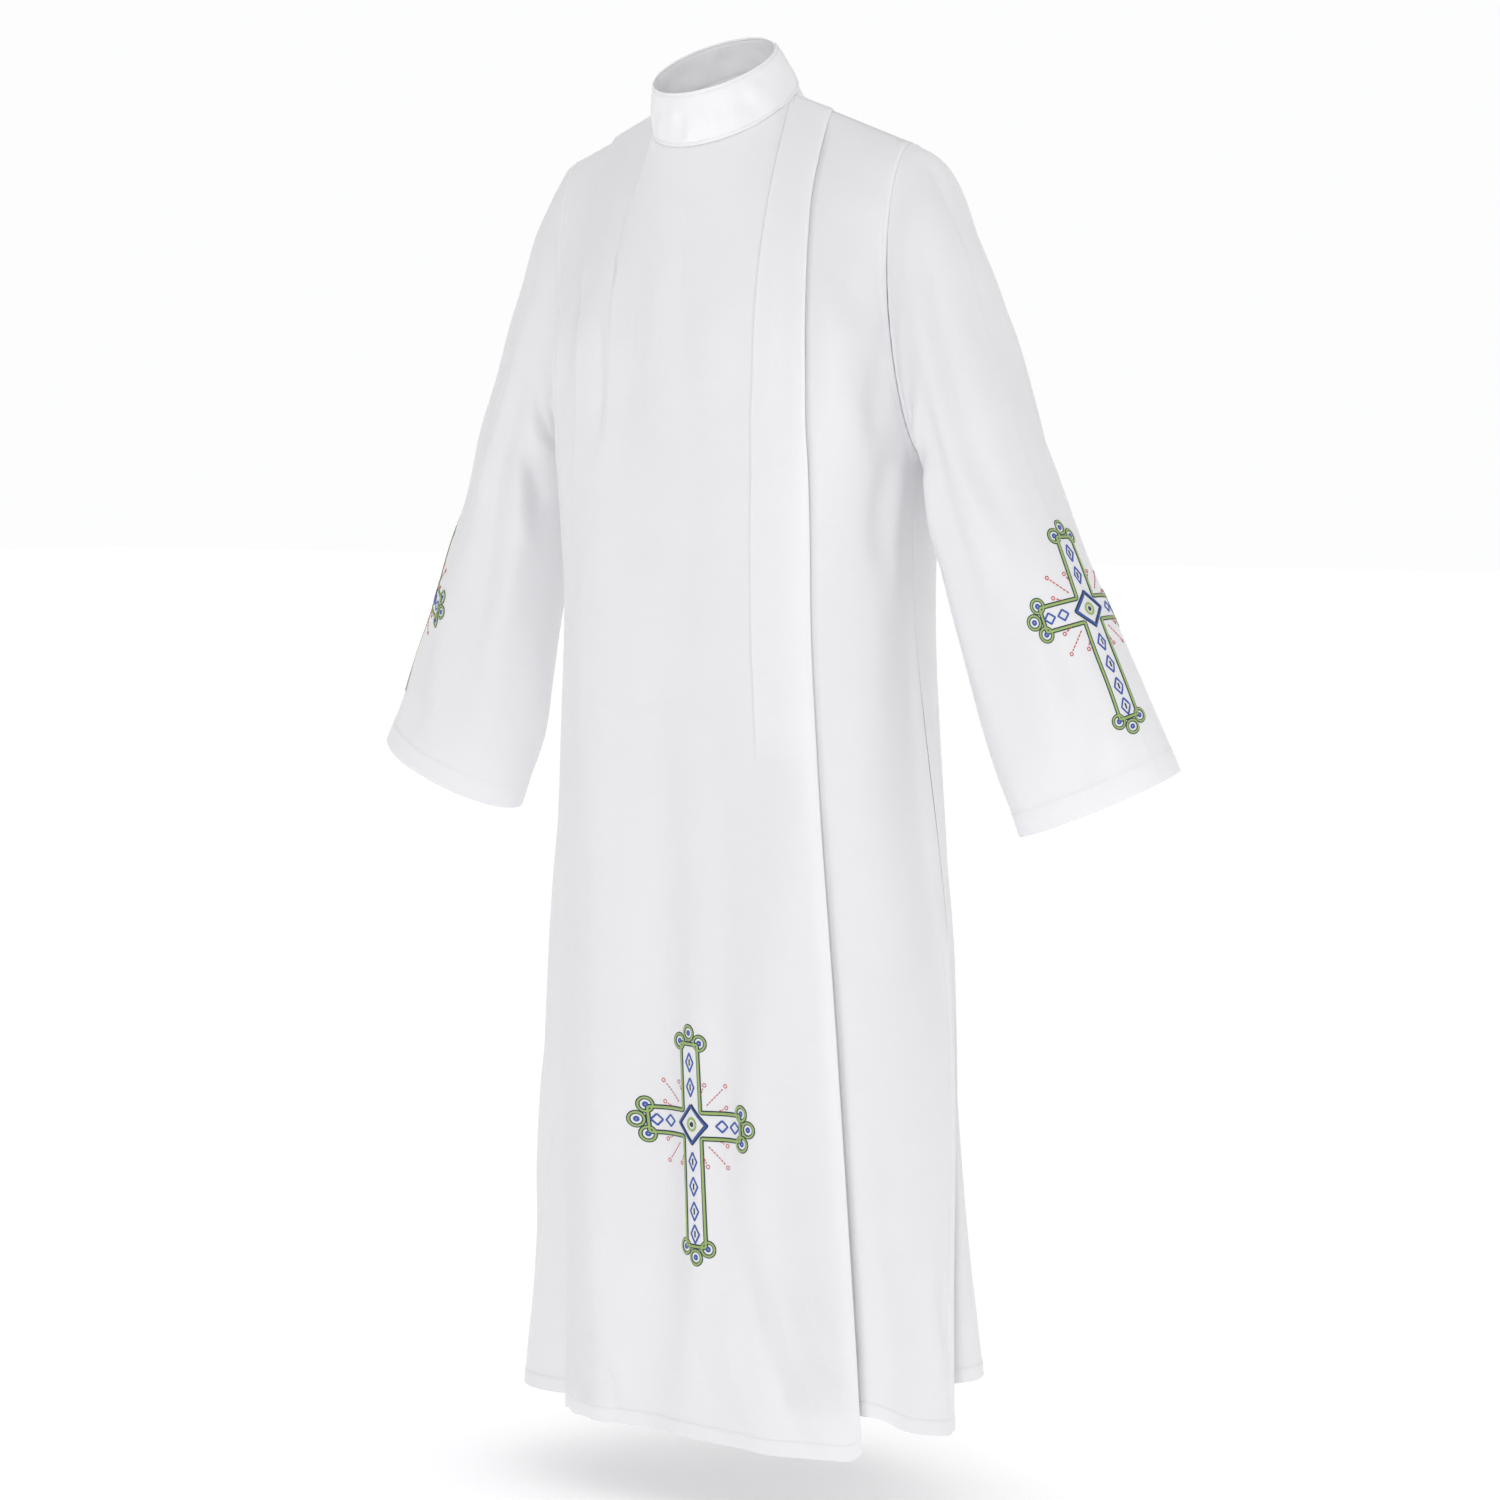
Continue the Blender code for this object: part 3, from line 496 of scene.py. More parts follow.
def mesh_object(name, points, faces, material, uv=None):
    mesh = bpy.data.meshes.new(name)
    mesh.from_pydata(points.tolist(), [], faces)
    if uv is not None:
        layer = mesh.uv_layers.new(name="cloth")
        corners = np.empty(len(mesh.loops), dtype=np.int32)
        mesh.loops.foreach_get("vertex_index", corners)
        layer.data.foreach_set("uv", uv[corners].astype(np.float32).ravel())
    mesh.materials.append(material)
    mesh.shade_smooth()
    return link(bpy.data.objects.new(name, mesh))


def shell(name, middle, across, closed_round, uv, material, thick=SHELL):
    """Thin closed wall of cloth about a grid of middle points."""
    rows, columns = middle.shape[:2]
    drop = np.array([0.0, 0.0, -SHOULDER_HEIGHT])
    outer, inner = ((middle + way * across * thick / 2.0 + drop).reshape(-1, 3) for way in (1.0, -1.0))
    index = np.arange(rows * columns).reshape(rows, columns)
    after = np.roll(index, -1, axis=1) if closed_round else index[:, 1:]
    here = index if closed_round else index[:, :-1]
    quads = np.stack([here[:-1], after[:-1], after[1:], here[1:]], axis=-1).reshape(-1, 4)
    total = rows * columns
    faces = [quads, quads[:, ::-1] + total]
    for low, high in ((after[0], here[0]), (here[-1], after[-1])):
        faces.append(np.stack([low, high, high + total, low + total], axis=-1))
    if not closed_round:
        for low, high in ((index[:-1, 0], index[1:, 0]), (index[1:, -1], index[:-1, -1])):
            faces.append(np.stack([low, high, high + total, low + total], axis=-1))
    return mesh_object(
        name, np.concatenate([outer, inner]), np.concatenate(faces).tolist(), material,
        np.tile(uv.reshape(-1, 2), (2, 1)))


def tree_of(name, base, roughness, sheen=0.0, through_light=0.0):
    material = bpy.data.materials.new(name)
    material.use_nodes = True
    nodes = material.node_tree.nodes
    shader = nodes["Principled BSDF"]
    shader.inputs["Base Color"].default_value = (*base, 1.0)
    shader.inputs["Roughness"].default_value = roughness
    shader.inputs["Specular IOR Level"].default_value = 0.28
    if through_light:
        shader.inputs["Subsurface Weight"].default_value = through_light
        shader.inputs["Subsurface Radius"].default_value = (1.0, 1.0, 1.0)
        shader.inputs["Subsurface Scale"].default_value = 0.004
    if sheen:
        shader.inputs["Sheen Weight"].default_value = sheen
        shader.inputs["Sheen Roughness"].default_value = 0.45
    return material, nodes, material.node_tree.links, shader


def noise(nodes, links, coordinates, stretch, scale, detail=2.0):
    mapping = nodes.new("ShaderNodeMapping")
    mapping.inputs["Scale"].default_value = stretch
    links.new(coordinates, mapping.inputs["Vector"])
    node = nodes.new("ShaderNodeTexNoise")
    node.inputs["Scale"].default_value = scale
    node.inputs["Detail"].default_value = detail
    links.new(mapping.outputs["Vector"], node.inputs["Vector"])
    return node.outputs["Fac"]


def joined(nodes, links, kind, first, second):
    node = nodes.new("ShaderNodeMath")
    node.operation = kind
    links.new(first, node.inputs[0])
    if isinstance(second, float):
        node.inputs[1].default_value = second
    else:
        links.new(second, node.inputs[1])
    return node.outputs[0]


def ramp(nodes, links, factor, colours, places=(0.0, 1.0)):
    node = nodes.new("ShaderNodeValToRGB")
    for element, colour, at in zip(node.color_ramp.elements, colours, places):
        element.position = at
        element.color = (*colour, 1.0)
    links.new(factor, node.inputs["Fac"])
    return node


def bump(nodes, links, height, strength, distance):
    node = nodes.new("ShaderNodeBump")
    node.inputs["Strength"].default_value = strength
    node.inputs["Distance"].default_value = distance
    links.new(height, node.inputs["Height"])
    return node


def cloth_place(nodes):
    uv = nodes.new("ShaderNodeUVMap")
    uv.uv_map = "cloth"
    return uv.outputs["UV"]


def cloth_material():
    """White plain weave: fine uneven threads both ways and a little mottling."""
    material, nodes, links, shader = tree_of("white_weave", (0.80, 0.80, 0.82), 0.52, 0.15, 0.35)
    uv = cloth_place(nodes)
    weft = noise(nodes, links, uv, (60.0, 1700.0, 1.0), 1.0, 1.0)
    warp = noise(nodes, links, uv, (1900.0, 70.0, 1.0), 1.0, 1.0)
    slubs = noise(nodes, links, uv, (12.0, 420.0, 1.0), 1.0, 2.0)
    threads = joined(nodes, links, "ADD", weft, warp)
    rough = noise(nodes, links, uv, (16.0, 16.0, 1.0), 1.0, 4.0)
    mottle = joined(nodes, links, "MULTIPLY", rough, 0.35)
    fine = joined(nodes, links, "MULTIPLY", threads, 0.2)
    tint = ramp(nodes, links, joined(nodes, links, "ADD", mottle, fine),
                [(0.785, 0.783, 0.80), (0.82, 0.818, 0.835)], (0.3, 0.75))
    links.new(tint.outputs["Color"], shader.inputs["Base Color"])
    weave = bump(nodes, links, threads, 0.35, 0.00022)
    uneven = bump(nodes, links, slubs, 0.25, 0.0005)
    links.new(weave.outputs["Normal"], uneven.inputs["Normal"])
    links.new(uneven.outputs["Normal"], shader.inputs["Normal"])
    return material


WHITE_CLOTH = cloth_material()


# Body panels


def creases_over(line, level, back):
    """Outward push of the creases over every layer, and the flat chart's x and y."""
    x = chart_x(line, level, back)
    y = 0.0 * line + from_hem(level) + YOKE_LENGTH * np.clip(level - 1.0, 0.0, 1.0)
    if back:
        x = -x
        push = BACK_CREASE_GAIN * crease_depth(BACK_CREASES, x, y)
        return push + 0.0010 * waver(x, 0.16 * y, 0.17, 21), x, y
    push = crease_depth(FRONT_CREASES, x, y) + crease_depth(LEFT_CREASES, x, y)
    return push + 0.0008 * waver(x, 0.16 * y, 0.17, 11), x, y


def sewn_in(push, level, to_side, x, y, seed, side_fade=SIDE_FADE):
    """Lets the creases die out at the sewn edges and adds the small gathers there."""
    to_top = YOKE_LENGTH * (2.0 - level)
    push = push * smooth(to_top / TOP_FADE) * smooth(to_side / side_fade)
    for along, away, depth, number in ((x, to_top, 0.0005, seed), (y, to_side, 0.0004, seed + 1.0)):
        push = push + depth * puckers(along, number) * np.exp(-away / 0.010) * smooth(away / 0.002)
    return push - SEAM_DIP * smooth(1.0 - to_side / SEAM_DIP) * (level > 1.0)


def puckers(along, seed, pitch=0.014):
    """Uneven gather ripples along a seam, between -1 and 1."""
    wave = np.sin(2.0 * np.pi * along / pitch + 1.7 * np.sin(along * 47.0 + seed))
    return wave * (0.55 + 0.45 * np.sin(along * 31.0 + 2.0 * seed))


SIDE_EDGE = [0.0, 0.0007, 0.0020, 0.0040, 0.0050, 0.0058, 0.0066, 0.0078, 0.0100, 0.0112, 0.0119, 0.0126,
             0.0134, 0.0150, 0.0180]
FOLD_EDGE = [0.0, 0.0010, 0.0028, 0.0055, 0.0090, 0.0135]
FREE_EDGE = [0.0, 0.0007, 0.0018, 0.0034, 0.0055, 0.0085, 0.0125, 0.0170, 0.0220, 0.0270, 0.0320, 0.0370,
             0.0420, 0.0470, 0.0515, 0.0555, 0.0585, 0.0602, 0.0609, 0.0615, 0.0620, 0.0625, 0.0631, 0.0640,
             0.0660]


def finish(line, level, to_side, y):
    """Extra thickness at the hem, a vent's edge and the armhole, with the dips of their stitches."""
    level = level * np.ones_like(line)
    hem = band(from_hem(level), HEM_DEPTH, rise=0.0008, groove=0.0007)
    above = level >= 1.0
    vent = band(to_side, VENT_HEM_DEPTH) * smooth((VENT_HEIGHT + 0.012 - y) / 0.012)
    welt = band(to_side, WELT_DEPTH, rise=0.0008, groove=0.0006, width=0.0008)
    return hem + np.where((y < VENT_HEIGHT) & ~above, vent, 0.0) + np.where(above, welt, 0.0)


def eased(points, level, hold):
    """Rounds off the bend where the yoke begins, less near what is sewn there."""
    weight = smooth(1.0 - np.abs(level - 1.06) / 0.30) * np.ones_like(hold) * hold
    weight = weight[1:-1, :, None] * 0.5
    for _ in range(160):
        middle = 0.5 * (points[2:] + points[:-2])
        points[1:-1] += (middle - points[1:-1]) * weight
    return points


def softened(values, points, line, level):
    """Evens values of the cloth beside the neck point, where its top edge turns along the shoulder."""
    values = values.copy()
    weight = smooth((level - 1.25) / 0.3) * smooth((2.0 - level) / 0.05)
    weight = weight * np.exp(-(((line - 1.0) / 0.35) ** 2))
    reach = np.arange(-30, 31) * 0.001
    kernel = np.exp(-0.5 * (reach / 0.010) ** 2)
    kernel /= kernel.sum()
    lengths = lengths_across(points)
    for row in np.flatnonzero(level[:, 0] > 1.25):
        even = np.arange(0.0, lengths[row, -1], 0.001)
        for axis in range(3):
            plain = np.interp(even, lengths[row], values[row, :, axis])
            before = 2.0 * plain[0] - plain[30:0:-1]
            after = 2.0 * plain[-1] - plain[-2:-32:-1]
            soft = np.convolve(np.concatenate([before, plain, after]), kernel, "valid")
            there = np.interp(lengths[row], even, soft)
            values[row, :, axis] += (there - values[row, :, axis]) * weight[row]
    return values


def panel(name, line, level, hem, off, shift, relief, extra, back, uv, hold):
    """Builds a body panel's shell and keeps what the stitches need."""
    point, along, normal = body_frame(line, level, hem, back)
    point = eased(point, level, hold)
    if not back:
        normal = unit(softened(normal, point, line, level))
        along = unit(softened(along, point, line, level))
        point = softened(point, point, line, level)
    normal = grid_normals(point) if np.ptp(line[0]) > 1.9 and back else normal
    off = off + fold_depth(line, level, back) + relief
    middle = point + normal * off[..., None] + along * shift[..., None]
    across = grid_normals(middle)
    thick = (SHELL + 2.0 * extra)[..., None]
    piece = shell(name, middle, across, False, uv, WHITE_CLOTH, thick)
    return piece, middle, across, thick[..., 0]


def front_panel():
    level = levels()
    side = lines_at(-2.0, FOLD_LINE, level, SIDE_HEM, SIDE_EDGE, FOLD_EDGE[::2], 38)[0]
    inner = np.linspace(FOLD_LINE, PLEAT_TURN_LINE, 7)
    inner_grid = np.broadcast_to(inner, (len(level), len(inner)))
    side = np.concatenate([side, inner_grid[:, 1:]], axis=1)
    room = LAYER_ROOM + (PLEAT_ROOM_AT_HEM - LAYER_ROOM) * smooth(1.0 - level)
    layer = CLOTH + room
    side_hem = curve(SIDE_HEM, side)
    from_seam = lengths_across(body_point(side, level, side_hem, False))
    side_off = -VENT_EASE * vent_opening(level) * smooth(1.0 - from_seam / VENT_BLEND)
    recess = 0.0030 + (PLEAT_SINK - 0.0030) * smooth((level - 0.85) / 0.25)
    recess = recess * smooth((level - 0.02) / 0.1) * smooth((1.98 - level) / 0.35)
    side_off = side_off - recess * smooth(from_seam / 0.024) * (1.0 - smooth((side - FOLD_LINE) / 0.22))

    around = np.radians(np.linspace(-90.0, 90.0, 10))[1:-1]
    one = np.ones(len(around))
    hidden = np.broadcast_to(
        np.concatenate([PLEAT_TURN_LINE * one, inner[::-1], FOLD_LINE * one]),
        (len(level), 2 * len(around) + len(inner)))
    height_in_turn = 0.5 * (1.0 + np.sin(around))
    width_of_turn = 0.5 * np.cos(around)
    flat = np.ones(len(inner))
    in_layers = np.concatenate([height_in_turn, flat, 1.0 + height_in_turn])
    out_by = np.concatenate([width_of_turn, 0.0 * flat, -width_of_turn])
    hidden_hem = curve(SIDE_HEM, hidden) * (1.0 - 0.5 * in_layers)

    main, from_fold, to_edge = lines_at(
        FOLD_LINE, EDGE_LINE, level, FRONT_HEM, FOLD_EDGE, FREE_EDGE, 56)
    main_hem = curve(FRONT_HEM, main)
    to_corner = np.minimum(from_fold, to_edge)
    main_hem = main_hem + CORNER_RISE * smooth(1.0 - to_corner / CORNER_REACH) ** 1.5
    turn_hem = hidden_hem[:, -len(around):]
    turn_hem += (main_hem[:, :1] - turn_hem) * height_in_turn
    table = np.broadcast_to(np.linspace(FOLD_LINE, EDGE_LINE, TABLE_STEPS), (len(level), TABLE_STEPS))
    sums = lengths_across(body_point(table, level, curve(FRONT_HEM, table), False))
    pleat_at = np.array([np.interp(PLEAT_TURN_LINE, t, s) for t, s in zip(table, sums)])[:, None]
    pleat_lift = 2.0 * layer * smooth(1.0 - (from_fold - pleat_at - PLEAT_PAST) / PLEAT_BLEND)
    lap_room = LAYER_ROOM + (LAP_ROOM_AT_HEM - LAYER_ROOM) * smooth(1.0 - level / LAP_ROOM_END)
    lap_lift = (CLOTH + lap_room) * smooth(1.0 - (to_edge - LAP_WIDTH) / LAP_BLEND)
    main_off = np.maximum(pleat_lift, lap_lift)
    main_off = main_off - 0.0009 * smooth(1.0 - to_edge / 0.0030)
    roll = smooth(from_fold / 0.028) * smooth((0.120 - from_fold) / 0.085)
    main_off = main_off + 0.0042 * roll * smooth(level / 0.08) * smooth((1.15 - level) / 0.35)

    line = np.concatenate([side, hidden, main], axis=1)
    hem = np.concatenate([side_hem, hidden_hem, main_hem], axis=1)
    off = np.concatenate([side_off, layer * in_layers, main_off], axis=1)
    fold_shift = curve(FOLD_ASIDE, level)
    edge_shift = edge_aside(level)
    to_fold = from_seam[:, -1:] - from_seam
    side_shift = fold_shift * smooth(1.0 - to_fold / 0.14) * smooth(from_seam / 0.03)
    main_shift = fold_shift * smooth(1.0 - from_fold / 0.12) + edge_shift * smooth(1.0 - to_edge / 0.14)
    shift = np.concatenate([side_shift, fold_shift + layer * out_by, main_shift], axis=1)
    push, x, y = creases_over(line, level, False)
    to_side = np.concatenate([from_seam, 1.0 + 0.0 * hidden, 1.0 + 0.0 * main], axis=1)
    relief = sewn_in(push, level, to_side, x, y, 1.0)

    placket = np.concatenate([1.0 + 0.0 * side, 1.0 + 0.0 * hidden, to_edge], axis=1)
    keep = smooth((y - PLACKET_END) / 0.05)
    groove = -0.00065 * np.exp(-(((placket - PLACKET_WIDTH) / 0.0009) ** 2)) * keep
    groove = groove + 0.0003 * smooth((PLACKET_WIDTH - placket) / 0.003 + 0.5) * keep
    edge = 0.0004 * smooth((0.012 - placket) / 0.003 + 0.5)
    extra = finish(line, level, to_side, y) + groove + edge
    extra = np.maximum(extra, -0.00035)

    flat_x = np.concatenate([
        from_seam, from_seam[:, -1:] + 0.07 * (in_layers - in_layers[0]) + 0.0 * hidden,
        from_seam[:, -1:] + 0.12 + from_fold], axis=1)
    uv = np.stack([flat_x, y], axis=-1)
    made = panel("front", line, level, hem, off, shift, relief, extra, False, uv, smooth(to_side / 0.03))
    first_main = side.shape[1] + hidden.shape[1]
    last_side = side.shape[1] - len(inner) + 1
    return made, dict(main=first_main, side=last_side, to_edge=to_edge, from_seam=from_seam, x=x, y=y)


def front_left_panel():
    level = levels()
    start = [0.0, 0.0010, 0.0030, 0.0070, 0.0120, 0.0165, 0.0180]
    line, from_under, to_seam = lines_at(UNDERLAP_LINE, 2.0, level, LEFT_HEM, start, SIDE_EDGE, 66)
    hem = curve(LEFT_HEM, line) + CORNER_RISE * 0.8 * smooth(1.0 - to_seam / CORNER_REACH) ** 1.5
    off = -VENT_EASE * vent_opening(level) * smooth(1.0 - to_seam / VENT_BLEND)
    push, x, y = creases_over(line, level, False)
    to_top = YOKE_LENGTH * (2.0 - level)
    edge_x = np.array([np.interp(EDGE_LINE, row, across) for row, across in zip(line, x)])
    past_edge = x - edge_x[:, None]
    off = off - 0.0018 * smooth((-past_edge - 0.010) / 0.020) * smooth(to_top / 0.010)
    shift = edge_aside(level) * smooth(1.0 - np.abs(past_edge) / 0.14) * smooth(to_seam / 0.03)
    shift = shift + curve(VENT_ASIDE, level) * smooth(1.0 - to_seam / 0.11)
    relief = sewn_in(push, level, to_seam, x, y, 3.0)
    under_edge = np.exp(-((((line - EDGE_LINE) - 0.004) / 0.035) ** 2))
    relief = relief - (0.0022 + 0.0035 * smooth(1.0 - level / 0.7)) * under_edge * smooth(to_top / 0.05)
    extra = finish(line, level, to_seam, y)
    uv = np.stack([from_under + 1.0, y], axis=-1)
    made = panel("front_left", line, level, hem, off, shift, relief, extra, False, uv,
                 smooth(to_seam / 0.03))
    return made, dict(to_seam=to_seam, x=x, y=y)


def back_panel():
    level = levels()
    line, from_left, to_right = lines_at(2.0, -2.0, level, BACK_HEM, SIDE_EDGE, SIDE_EDGE, 104, back=True)
    hem = curve(BACK_HEM, line)
    to_seam = np.minimum(from_left, to_right)
    hem = hem + CORNER_RISE * 0.6 * smooth(1.0 - to_seam / CORNER_REACH) ** 1.5
    opening = vent_opening(level)
    off = -VENT_TUCK * smooth(opening * VENT_TUCK_GROWTH) * smooth(1.0 - to_seam / VENT_BLEND)
    reach = VENT_REACH * smooth((opening - VENT_REACH_START) / (1.0 - VENT_REACH_START))
    spread_out = smooth(1.0 - to_seam / 0.045)
    shift = reach * spread_out * np.where(line > 0.0, -0.5, -1.0)
    shift = shift - curve(VENT_ASIDE, level) * smooth(1.0 - from_left / 0.11) * smooth(level / 0.35)
    push, x, y = creases_over(line, level, True)
    relief = sewn_in(push, level, to_seam, x, y, 5.0, BACK_SIDE_FADE)
    extra = finish(line, level, to_seam, y)
    uv = np.stack([from_left + 2.0, y], axis=-1)
    made = panel("back", line, level, hem, off, shift, relief, extra, True, uv, smooth(to_seam / 0.03))
    return made, dict(from_left=from_left, to_right=to_right, x=x, y=y)


# Sleeves and collar


def sleeve_point(share, turn):
    places = np.linspace(0.0, 1.0, len(SLEEVE_CUTS))
    outer_x, outer_height, inner_x, inner_height, middle_y, half_depth = (
        through(places, [getattr(cut, name) for cut in SLEEVE_CUTS], share) for name in Cut._fields)
    turn = np.radians(turn)
    outward = 0.5 + 0.5 * np.cos(turn)
    x = inner_x + (outer_x - inner_x) * outward
    height = inner_height + (outer_height - inner_height) * outward
    y = middle_y - half_depth * np.sin(turn)
    return np.stack([x, y, height], axis=-1)


def sleeve_grid(share, turn, slant=CUFF_SLANT):
    """Left sleeve at any share of its length from the armhole to the cuff and turn round it."""
    grid = sleeve_point(share, turn)
    grid[..., 2] -= slant * np.sin(np.radians(turn)) * smooth((share - 0.55) / 0.45)
    leave = SLEEVE_LEAVE_TOP + (SLEEVE_LEAVE - SLEEVE_LEAVE_TOP) * np.sin(0.5 * np.radians(turn))
    begun = np.clip(share / 0.0107, 0.0, 1.0)
    grid[..., 0] += leave * (1.0 - share) ** 2 * begun
    folded = np.where(turn > 180.0, 360.0 - turn, turn)
    depth = np.where(turn > 180.0, ARMHOLE_BACK_DEPTH, -ARMHOLE_FRONT_DEPTH)
    fade = smooth(1.0 - share / SLEEVE_HEAD_FADE)[..., None]
    return grid + fade * (armhole_point(folded, depth) - sleeve_point(0.0, turn))


def sleeve_surface(share, turn, seed, slant):
    """Middle of the sleeve's cloth with its creases, and the outward normals."""
    grid = sleeve_grid(share, turn, slant)
    outward = -tube_normals(grid[:, ::-1])[:, ::-1]
    signed = np.where(turn > 180.0, turn - 360.0, turn) + 0.0 * share
    wide = share + 0.0 * turn
    push = 0.0 * signed
    for around in (-360.0, 0.0, 360.0):
        push = push + crease_depth(SLEEVE_CREASES, signed + around, wide, stretch=700.0)
    ridge = np.exp(-(((signed - 20.0) / 2.6) ** 2)) + 0.5 * np.exp(-(((signed - 26.0) / 5.0) ** 2))
    push = push + 0.0016 * ridge * smooth(wide / 0.25)
    ring = np.radians(turn) + 0.0 * share
    ahead = np.sin(ring) * 0.05 + 0.35 * wide
    push = push + 0.0012 * waver(np.cos(ring) * 0.05 + seed, ahead, 0.06, seed)
    to_cuff = (1.0 - wide) * SLEEVE_OUTER_LENGTH
    from_head = wide * SLEEVE_OUTER_LENGTH
    push = push * smooth(from_head / 0.030)
    push = push * (0.55 + 0.45 * smooth(to_cuff / 0.05))
    gathers = np.exp(-from_head / 0.011) * smooth(from_head / 0.002)
    push = push + 0.0005 * puckers(signed * 0.0018, 7.0) * gathers
    push = push - 0.0016 * smooth(1.0 - from_head / 0.0030)
    return grid, outward, push, to_cuff, from_head


def sleeve_rows():
    head = np.array([0.0, 0.0012, 0.003, 0.0055, 0.0085, 0.0125])
    body = np.linspace(0.018, 0.955, 100)
    cuff = 1.0 - np.array([
        0.040, 0.0392, 0.0384, 0.0376, 0.0366, 0.034, 0.028, 0.020, 0.012, 0.006, 0.003, 0.001])
    return np.concatenate([head, body, cuff, [1.0]])


SLEEVE_LENGTH = 0.66
SLEEVE_CROSS_TURN = 17.0
SLEEVE_CROSS_SHARE = 0.251


def sleeve_chart(middle, thick, turn, mirror):
    """Flat places about the sleeve cross's own line, y counted from the cuff's end up."""
    signed = np.where(turn[0] > 230.0, turn[0] - 360.0, turn[0])
    order = np.argsort(signed)
    grid = (middle * mirror)[::-1, order]
    across = tube_normals(grid)
    outer = np.abs(signed[order]) < 20.0
    if np.mean(across[60, outer, 0]) * mirror[0] < 0.0:
        across = -across
    sums = lengths_across(grid)
    zero = np.array([np.interp(SLEEVE_CROSS_TURN, signed[order], row) for row in sums])[:, None]
    x = sums - zero
    y = (1.0 - sleeve_rows()[::-1]) * SLEEVE_LENGTH
    if mirror[0] > 0:
        return chart_of(-x[:, ::-1], y, grid[:, ::-1], across[:, ::-1], thick[::-1, order][:, ::-1])
    return chart_of(x, y, grid, across, thick[::-1, order])


def sleeve(name, side, seed):
    turn = np.linspace(0.0, 360.0, 133)[None, :-1]
    share = sleeve_rows()[:, None]
    slant = CUFF_SLANT if side > 0 else FAR_CUFF_SLANT
    grid, outward, push, to_cuff, from_head = sleeve_surface(share, turn, seed, slant)
    middle = grid + outward * push[..., None]
    if side < 0:
        inside = 0.5 - 0.5 * np.cos(np.radians(turn))
        middle[..., 0] += 0.010 * inside * smooth((share - 0.30) / 0.25) * smooth((0.92 - share) / 0.22)
        middle[..., 2] -= 0.008 * inside * smooth((share - 0.55) / 0.45)
    extra = band(to_cuff, CUFF_HEM_DEPTH) + 0.0 * push
    extra = extra + 0.0003 * smooth((0.005 - from_head) / 0.002 + 0.5)
    mirror = np.array([side, 1.0, 1.0])
    chart = sleeve_chart(middle, SHELL + 2.0 * extra, turn, mirror)
    ring = lengths_across(middle)
    uv = np.stack([ring + 3.0 + side, SLEEVE_OUTER_LENGTH * share + 0.0 * turn], axis=-1)
    if side > 0:
        middle, extra, uv = middle[:, ::-1], extra[:, ::-1], uv[:, ::-1]
    middle, extra, uv = middle[::-1] * mirror, extra[::-1], uv[::-1]
    across = tube_normals(middle)
    piece = shell(name, middle, across, True, uv, WHITE_CLOTH, (SHELL + 2.0 * extra)[..., None])
    return piece, chart


def collar():
    start = NECK_POINT_TURN + (180.0 - NECK_POINT_TURN) * 0.125
    end = 360.0 + NECK_POINT_TURN + (180.0 - NECK_POINT_TURN) * 0.375
    turn = np.concatenate([[start, start + 0.5, start + 1.5], np.linspace(start + 4.0, end - 4.0, 170),
                           [end - 1.5, end - 0.5, end]])[None, :]
    up = np.array([
        -0.02, 0.0, 0.025, 0.045, 0.055, 0.065, 0.08, 0.14, 0.24, 0.35, 0.47, 0.59, 0.70, 0.80, 0.875,
        0.915, 0.93, 0.942, 0.96, 0.98, 1.0])[:, None]
    lap = smooth((turn - 360.0 - COLLAR_LAP_START) / (COLLAR_LAP_END - COLLAR_LAP_START))
    low = circle_point(NECK, turn)
    high = circle_point(RIM, turn)
    middle = low + (high - low) * up[..., None]
    x = np.radians(turn) * COLLAR_MEAN_RADIUS
    dents = 0.0007 * waver(x + 0.0 * up, 0.045 * up + 0.0 * turn, 0.030, 31)
    dents = dents * smooth(up / 0.2) * (1.0 - 0.8 * smooth((up - 0.6) / 0.35))
    dents = dents + crease_depth(COLLAR_CREASES, turn - 360.0 + 0.0 * up, up + 0.0 * turn, stretch=45.0)
    off = COLLAR_BULGE * np.sin(np.pi * up) + 0.0019 * lap + dents
    across = grid_normals(middle)
    middle = middle + across * off[..., None]
    across = grid_normals(middle)
    stitch = -0.0005 * np.exp(-(((up - 0.055) / 0.013) ** 2))
    stitch = stitch - 0.00045 * np.exp(-(((up - 0.93) / 0.012) ** 2))
    round_rim = -0.00045 * smooth(1.0 - (1.0 - up) / 0.02)
    extra = 0.00030 + stitch + round_rim + 0.0 * turn
    uv = np.stack([x + 5.0 + 0.0 * up, COLLAR_TALL * up + 0.0 * turn], axis=-1)
    thick = SHELL + 2.0 * extra
    piece = shell("collar", middle, across, False, uv, WHITE_CLOTH, thick[..., None])
    return piece, chart_of(x + 0.0 * up, COLLAR_TALL * up[:, 0], middle, across, thick)


# Thread: satin stitch and running stitch laid on a piece's flat chart

Chart = namedtuple("Chart", "x y points normals")


def chart_of(x, y, middle, across, thick):
    """Outer face of a piece by its flat place: x rises along each row, y from row to row."""
    drop = np.array([0.0, 0.0, -SHOULDER_HEIGHT])
    return Chart(x, y, middle + across * thick[..., None] / 2.0 + drop, across)


